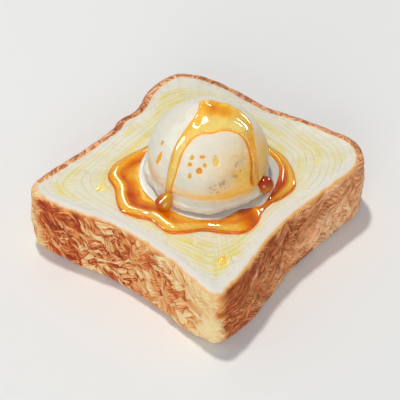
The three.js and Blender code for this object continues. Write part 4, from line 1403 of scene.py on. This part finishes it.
crumb_colour = mixed(tree, on_points(tree, "pores"), crumb_colour, PORE_SHADE)
print("nodes of the crust and the crumb:", len(tree.nodes))

# %% Bread
TOASTED, BLUSH_SHARE = tone(242, 182, 94), 0.8
RELIEF_SHARE, BREAD_BUMP, BREAD_RELIEF = 0.5, 0.5, 0.0006


def set_sockets(shader_, values):
    """Sets plain values on the named sockets of a shader."""
    for title, value in values.items():
        shader_.inputs[title].default_value = value


bread_colour = mixed(tree, on_points(tree, "crust"), crumb_colour, crust_colour)
blush_share = sum_of(tree, 0.0, (on_points(tree, "blush"), BLUSH_SHARE))
bread_colour = mixed(tree, blush_share, bread_colour, TOASTED)
tree.links.new(bread_colour, shader.inputs["Base Color"])
set_sockets(shader, {"Roughness": 0.65, "Specular IOR Level": 0.2, "Subsurface Weight": 0.12})
set_sockets(shader, {"Subsurface Radius": (1.0, 0.6, 0.35), "Subsurface Scale": 0.0015})
strand_height = sum_of(tree, 0.0, *((socket, RELIEF_SHARE) for socket in (height, shred_gold, strand_gold)))
bump(tree, shader, strand_height, BREAD_BUMP, BREAD_RELIEF)
toast.data.materials.append(bread)
print("finish of the slice:", bread.name)

# %% [markdown]
# Ice cream is a cloud of fat, ice and air: light goes in, spreads a few millimetres and comes out softened.
# That is subsurface scattering. Where it melts it is wet and glossy. Low on the ball, most of all on its
# right, a warm tint is painted shade: it stands in for the shadow there and for the light that the honey and
# the toast throw back. The pits and the band round them are painted darker as shaded hollows.

# %% Vanilla ice cream
VANILLA_GRAIN = 1500.0
VANILLA, WARM_SHADE_VANILLA = tone(234, 229, 210), tone(255, 198, 80)
MELTED, PIT_SHADE_TONE = tone(209, 206, 195), tone(186, 146, 104)
WARM_BASE, WARM_SHARE, WARM_GRAIN = -0.08, 0.96, 0.16
PIT_SHADE_SHARE = 0.72
DRY_ROUGHNESS, WET_SMOOTHER = 0.5, -0.28
VANILLA_BUMP, VANILLA_RELIEF = 0.3, 0.0004
vanilla, tree, shader = new_finish("vanilla_ice_cream")
height, mottle = grain_of(tree, VANILLA_GRAIN)
# Painted shade: where the ball lies in shade, the warm tint stored on the points mixes in a warm vanilla.
warm_shade_share = sum_of(tree, WARM_BASE, (on_points(tree, "warm_shade"), WARM_SHARE), (mottle, WARM_GRAIN))
cream_colour = mixed(tree, warm_shade_share, VANILLA, WARM_SHADE_VANILLA)
cream_colour = mixed(tree, on_points(tree, "wet"), cream_colour, MELTED)
# Painted shade: the pits and the band round them are mixed towards a grey-brown.
pit_shade_share = sum_of(tree, 0.0, (on_points(tree, "pit_shade"), PIT_SHADE_SHARE))
cream_colour = mixed(tree, pit_shade_share, cream_colour, PIT_SHADE_TONE)
tree.links.new(cream_colour, shader.inputs["Base Color"])
cream_roughness = sum_of(tree, DRY_ROUGHNESS, (on_points(tree, "wet"), WET_SMOOTHER))
tree.links.new(cream_roughness, shader.inputs["Roughness"])
set_sockets(shader, {"Subsurface Weight": 0.4, "Subsurface Radius": (1.0, 0.75, 0.45)})
set_sockets(shader, {"Subsurface Scale": 0.0015})
bump(tree, shader, height, VANILLA_BUMP, VANILLA_RELIEF)
cream.data.materials.append(vanilla)
print("finish of the scoop:", vanilla.name)

# %% [markdown]
# Honey is clear, so most of its light comes from what lies beneath it. A clear shader blocks the light on
# its way down unless every bent path is traced, so for shadow rays the honey is a plain film instead,
# tinted by half of its amber. The two large drops are thick, so they let less light through and mirror
# more.

# %% Clear honey
AMBER_TONES = [
    (0.0, tone(219, 207, 130)), (0.25, tone(220, 166, 20)), (0.6, tone(203, 101, 3)), (1.0, tone(162, 36, 3)),
]


HONEY_CLEARNESS, HONEY_GLOSS = 0.8, 0.36
BEAD_CLEARNESS, BEAD_GLOSS = 0.15, 0.6
HONEY_ROUGHNESS, HONEY_IOR = 0.04, 1.48
FILM_SHARE, CLEAR = 0.5, (1.0, 1.0, 1.0, 1.0)


def honey_finish(name, clearness, gloss):
    """Honey that lets so much of its light through, tinted by the amber on its points, and that mirrors so
    much."""
    material, tree, shader = new_finish(name)
    amber_colour = ramp(tree, on_points(tree, "amber"), AMBER_TONES)
    tree.links.new(amber_colour, shader.inputs["Base Color"])
    set_sockets(shader, {"Roughness": HONEY_ROUGHNESS, "IOR": HONEY_IOR})
    set_sockets(shader, {"Specular IOR Level": gloss, "Transmission Weight": clearness})
    film = add_node(tree, "ShaderNodeBsdfTransparent")
    tree.links.new(mixed(tree, FILM_SHARE, amber_colour, CLEAR), film.inputs["Color"])
    path = add_node(tree, "ShaderNodeLightPath")
    either = add_node(tree, "ShaderNodeMixShader")
    output = next(n for n in tree.nodes if n.type == "OUTPUT_MATERIAL")
    tree.links.new(path.outputs["Is Shadow Ray"], either.inputs[0])
    tree.links.new(shader.outputs[0], either.inputs[1])
    tree.links.new(film.outputs[0], either.inputs[2])
    tree.links.new(either.outputs[0], output.inputs["Surface"])
    return material


clear_honey = honey_finish("clear_honey", HONEY_CLEARNESS, HONEY_GLOSS)
honey.data.materials.append(clear_honey)
drops.data.materials.append(clear_honey)
large_drops.data.materials.append(honey_finish("honey_in_beads", BEAD_CLEARNESS, BEAD_GLOSS))
print("finishes of the honey:", [piece.data.materials[0].name for piece in (honey, drops, large_drops)])

# %% [markdown]
# Each piece hangs from the root body, and the solids that it replaces are hidden.

# %% Tie the pieces to the frame
for piece, slot, nodes in (
    (toast, "bread", ["toast"]),
    (cream, "ice_cream", ["ice_cream"]),
    (honey, "honey", ["honey_pool", "honey_drape"]),
    (drops, "honey", []),
    (large_drops, "honey", []),
):
    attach(piece, "root")
    if nodes:
        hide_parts(*nodes)
print("pieces:", [piece.name for piece in (toast, cream, honey, drops, large_drops)])

# %% [markdown]
# The studio: a pale floor that runs out of sight, a small key light from high on the left that casts the
# soft shadow, a large weak one from the front right and an even pale sky. Three white cards show only as
# highlights in what is glossy, as a food photographer would hold them beside the honey. The camera looks
# down on the front corner from far off through a long lens.

# %% Floor
FLOOR_SIZE = 6.0
corner = FLOOR_SIZE / 2 / MM
floor = new_piece(
    "floor",
    np.array([[-corner, -corner, 0], [corner, -corner, 0], [corner, corner, 0], [-corner, corner, 0]]),
    np.array([[0, 1, 2, 3]]),
    np.zeros((0, 3), int),
)
paper, tree, shader = new_finish("pale_floor")
set_sockets(shader, {"Base Color": tone(241, 240, 235), "Roughness": 0.9})
floor.data.materials.append(paper)

# %% Camera
CAMERA_AZIMUTH, CAMERA_ELEVATION = 39.33, 43.07
CAMERA_DISTANCE, CAMERA_LENS, CAMERA_SENSOR, CAMERA_CLIP = 0.647, 129.2, 36.0, 0.01
LOOK_AT = np.array([12.75, -17.03, SLICE_THICKNESS]) * MM


def stand_off(thing, aim, azimuth, elevation, distance):
    """Puts a camera or a light so far from its aim and turns it there. The azimuth, in degrees, runs from the
    front (-Y) towards the right (+X), and the elevation up from the floor."""
    a, e = math.radians(azimuth), math.radians(elevation)
    back = np.array([math.sin(a) * math.cos(e), -math.cos(a) * math.cos(e), math.sin(e)])
    thing.location = aim + back * distance
    thing.rotation_euler = (math.pi / 2 - e, 0, a)
    bpy.context.scene.collection.objects.link(thing)


camera_data = bpy.data.cameras.new("camera")
camera_data.lens = CAMERA_LENS
camera_data.sensor_width = CAMERA_SENSOR
camera_data.clip_start = CAMERA_CLIP
camera = bpy.data.objects.new("camera", camera_data)
stand_off(camera, LOOK_AT, CAMERA_AZIMUTH, CAMERA_ELEVATION, CAMERA_DISTANCE)
bpy.context.scene.camera = camera
print("camera at", [round(c, 3) for c in camera.location])

# %% Lights
WHITE, WARM_LIGHT, COOL_LIGHT = (1.0, 1.0, 1.0), (1.0, 0.97, 0.92), (0.98, 0.99, 1.0)
LAMPS = (
    ("key", -110, 75, 1.8, (0.14, 0.14), 16.5, WARM_LIGHT),
    ("fill", 28, 18, 2.0, (1.2, 1.2), 15.6, COOL_LIGHT),
)
CARDS = (
    ("run_card", -42, 38, (0.2, 0.44), 8.0),
    ("rim_card", -119, 47, (0.2, 0.5), 5.5),
    ("shoulder_card", 174, 26, (0.18, 0.18), 3.0),
)
CARD_DISTANCE = 1.0
SKY_STRENGTH = 0.39


def soft_light(name, azimuth, elevation, distance, size, watts, colour):
    """An area light, so wide and so tall, aimed at the scoop from an azimuth and an elevation in degrees."""
    data = bpy.data.lights.new(name, "AREA")
    data.shape = "RECTANGLE"
    data.size, data.size_y = size
    data.energy = watts
    data.color = colour
    light = bpy.data.objects.new(name, data)
    stand_off(light, np.array([SCOOP_X, SCOOP_Y, CRUMB_Z]) * MM, azimuth, elevation, distance)
    return light


for lamp in LAMPS:
    soft_light(*lamp)
for name, azimuth, elevation, size, watts in CARDS:
    card = soft_light(name, azimuth, elevation, CARD_DISTANCE, size, watts, WHITE)
    card.visible_diffuse = False
    card.visible_transmission = False
world = bpy.data.worlds.new("sky")
world.use_nodes = True
set_sockets(world.node_tree.nodes["Background"], {"Color": tone(228, 237, 252), "Strength": SKY_STRENGTH})
bpy.context.scene.world = world
bpy.context.scene.view_settings.view_transform = "Standard"
print("lights:", len(LAMPS), "cards:", len(CARDS))
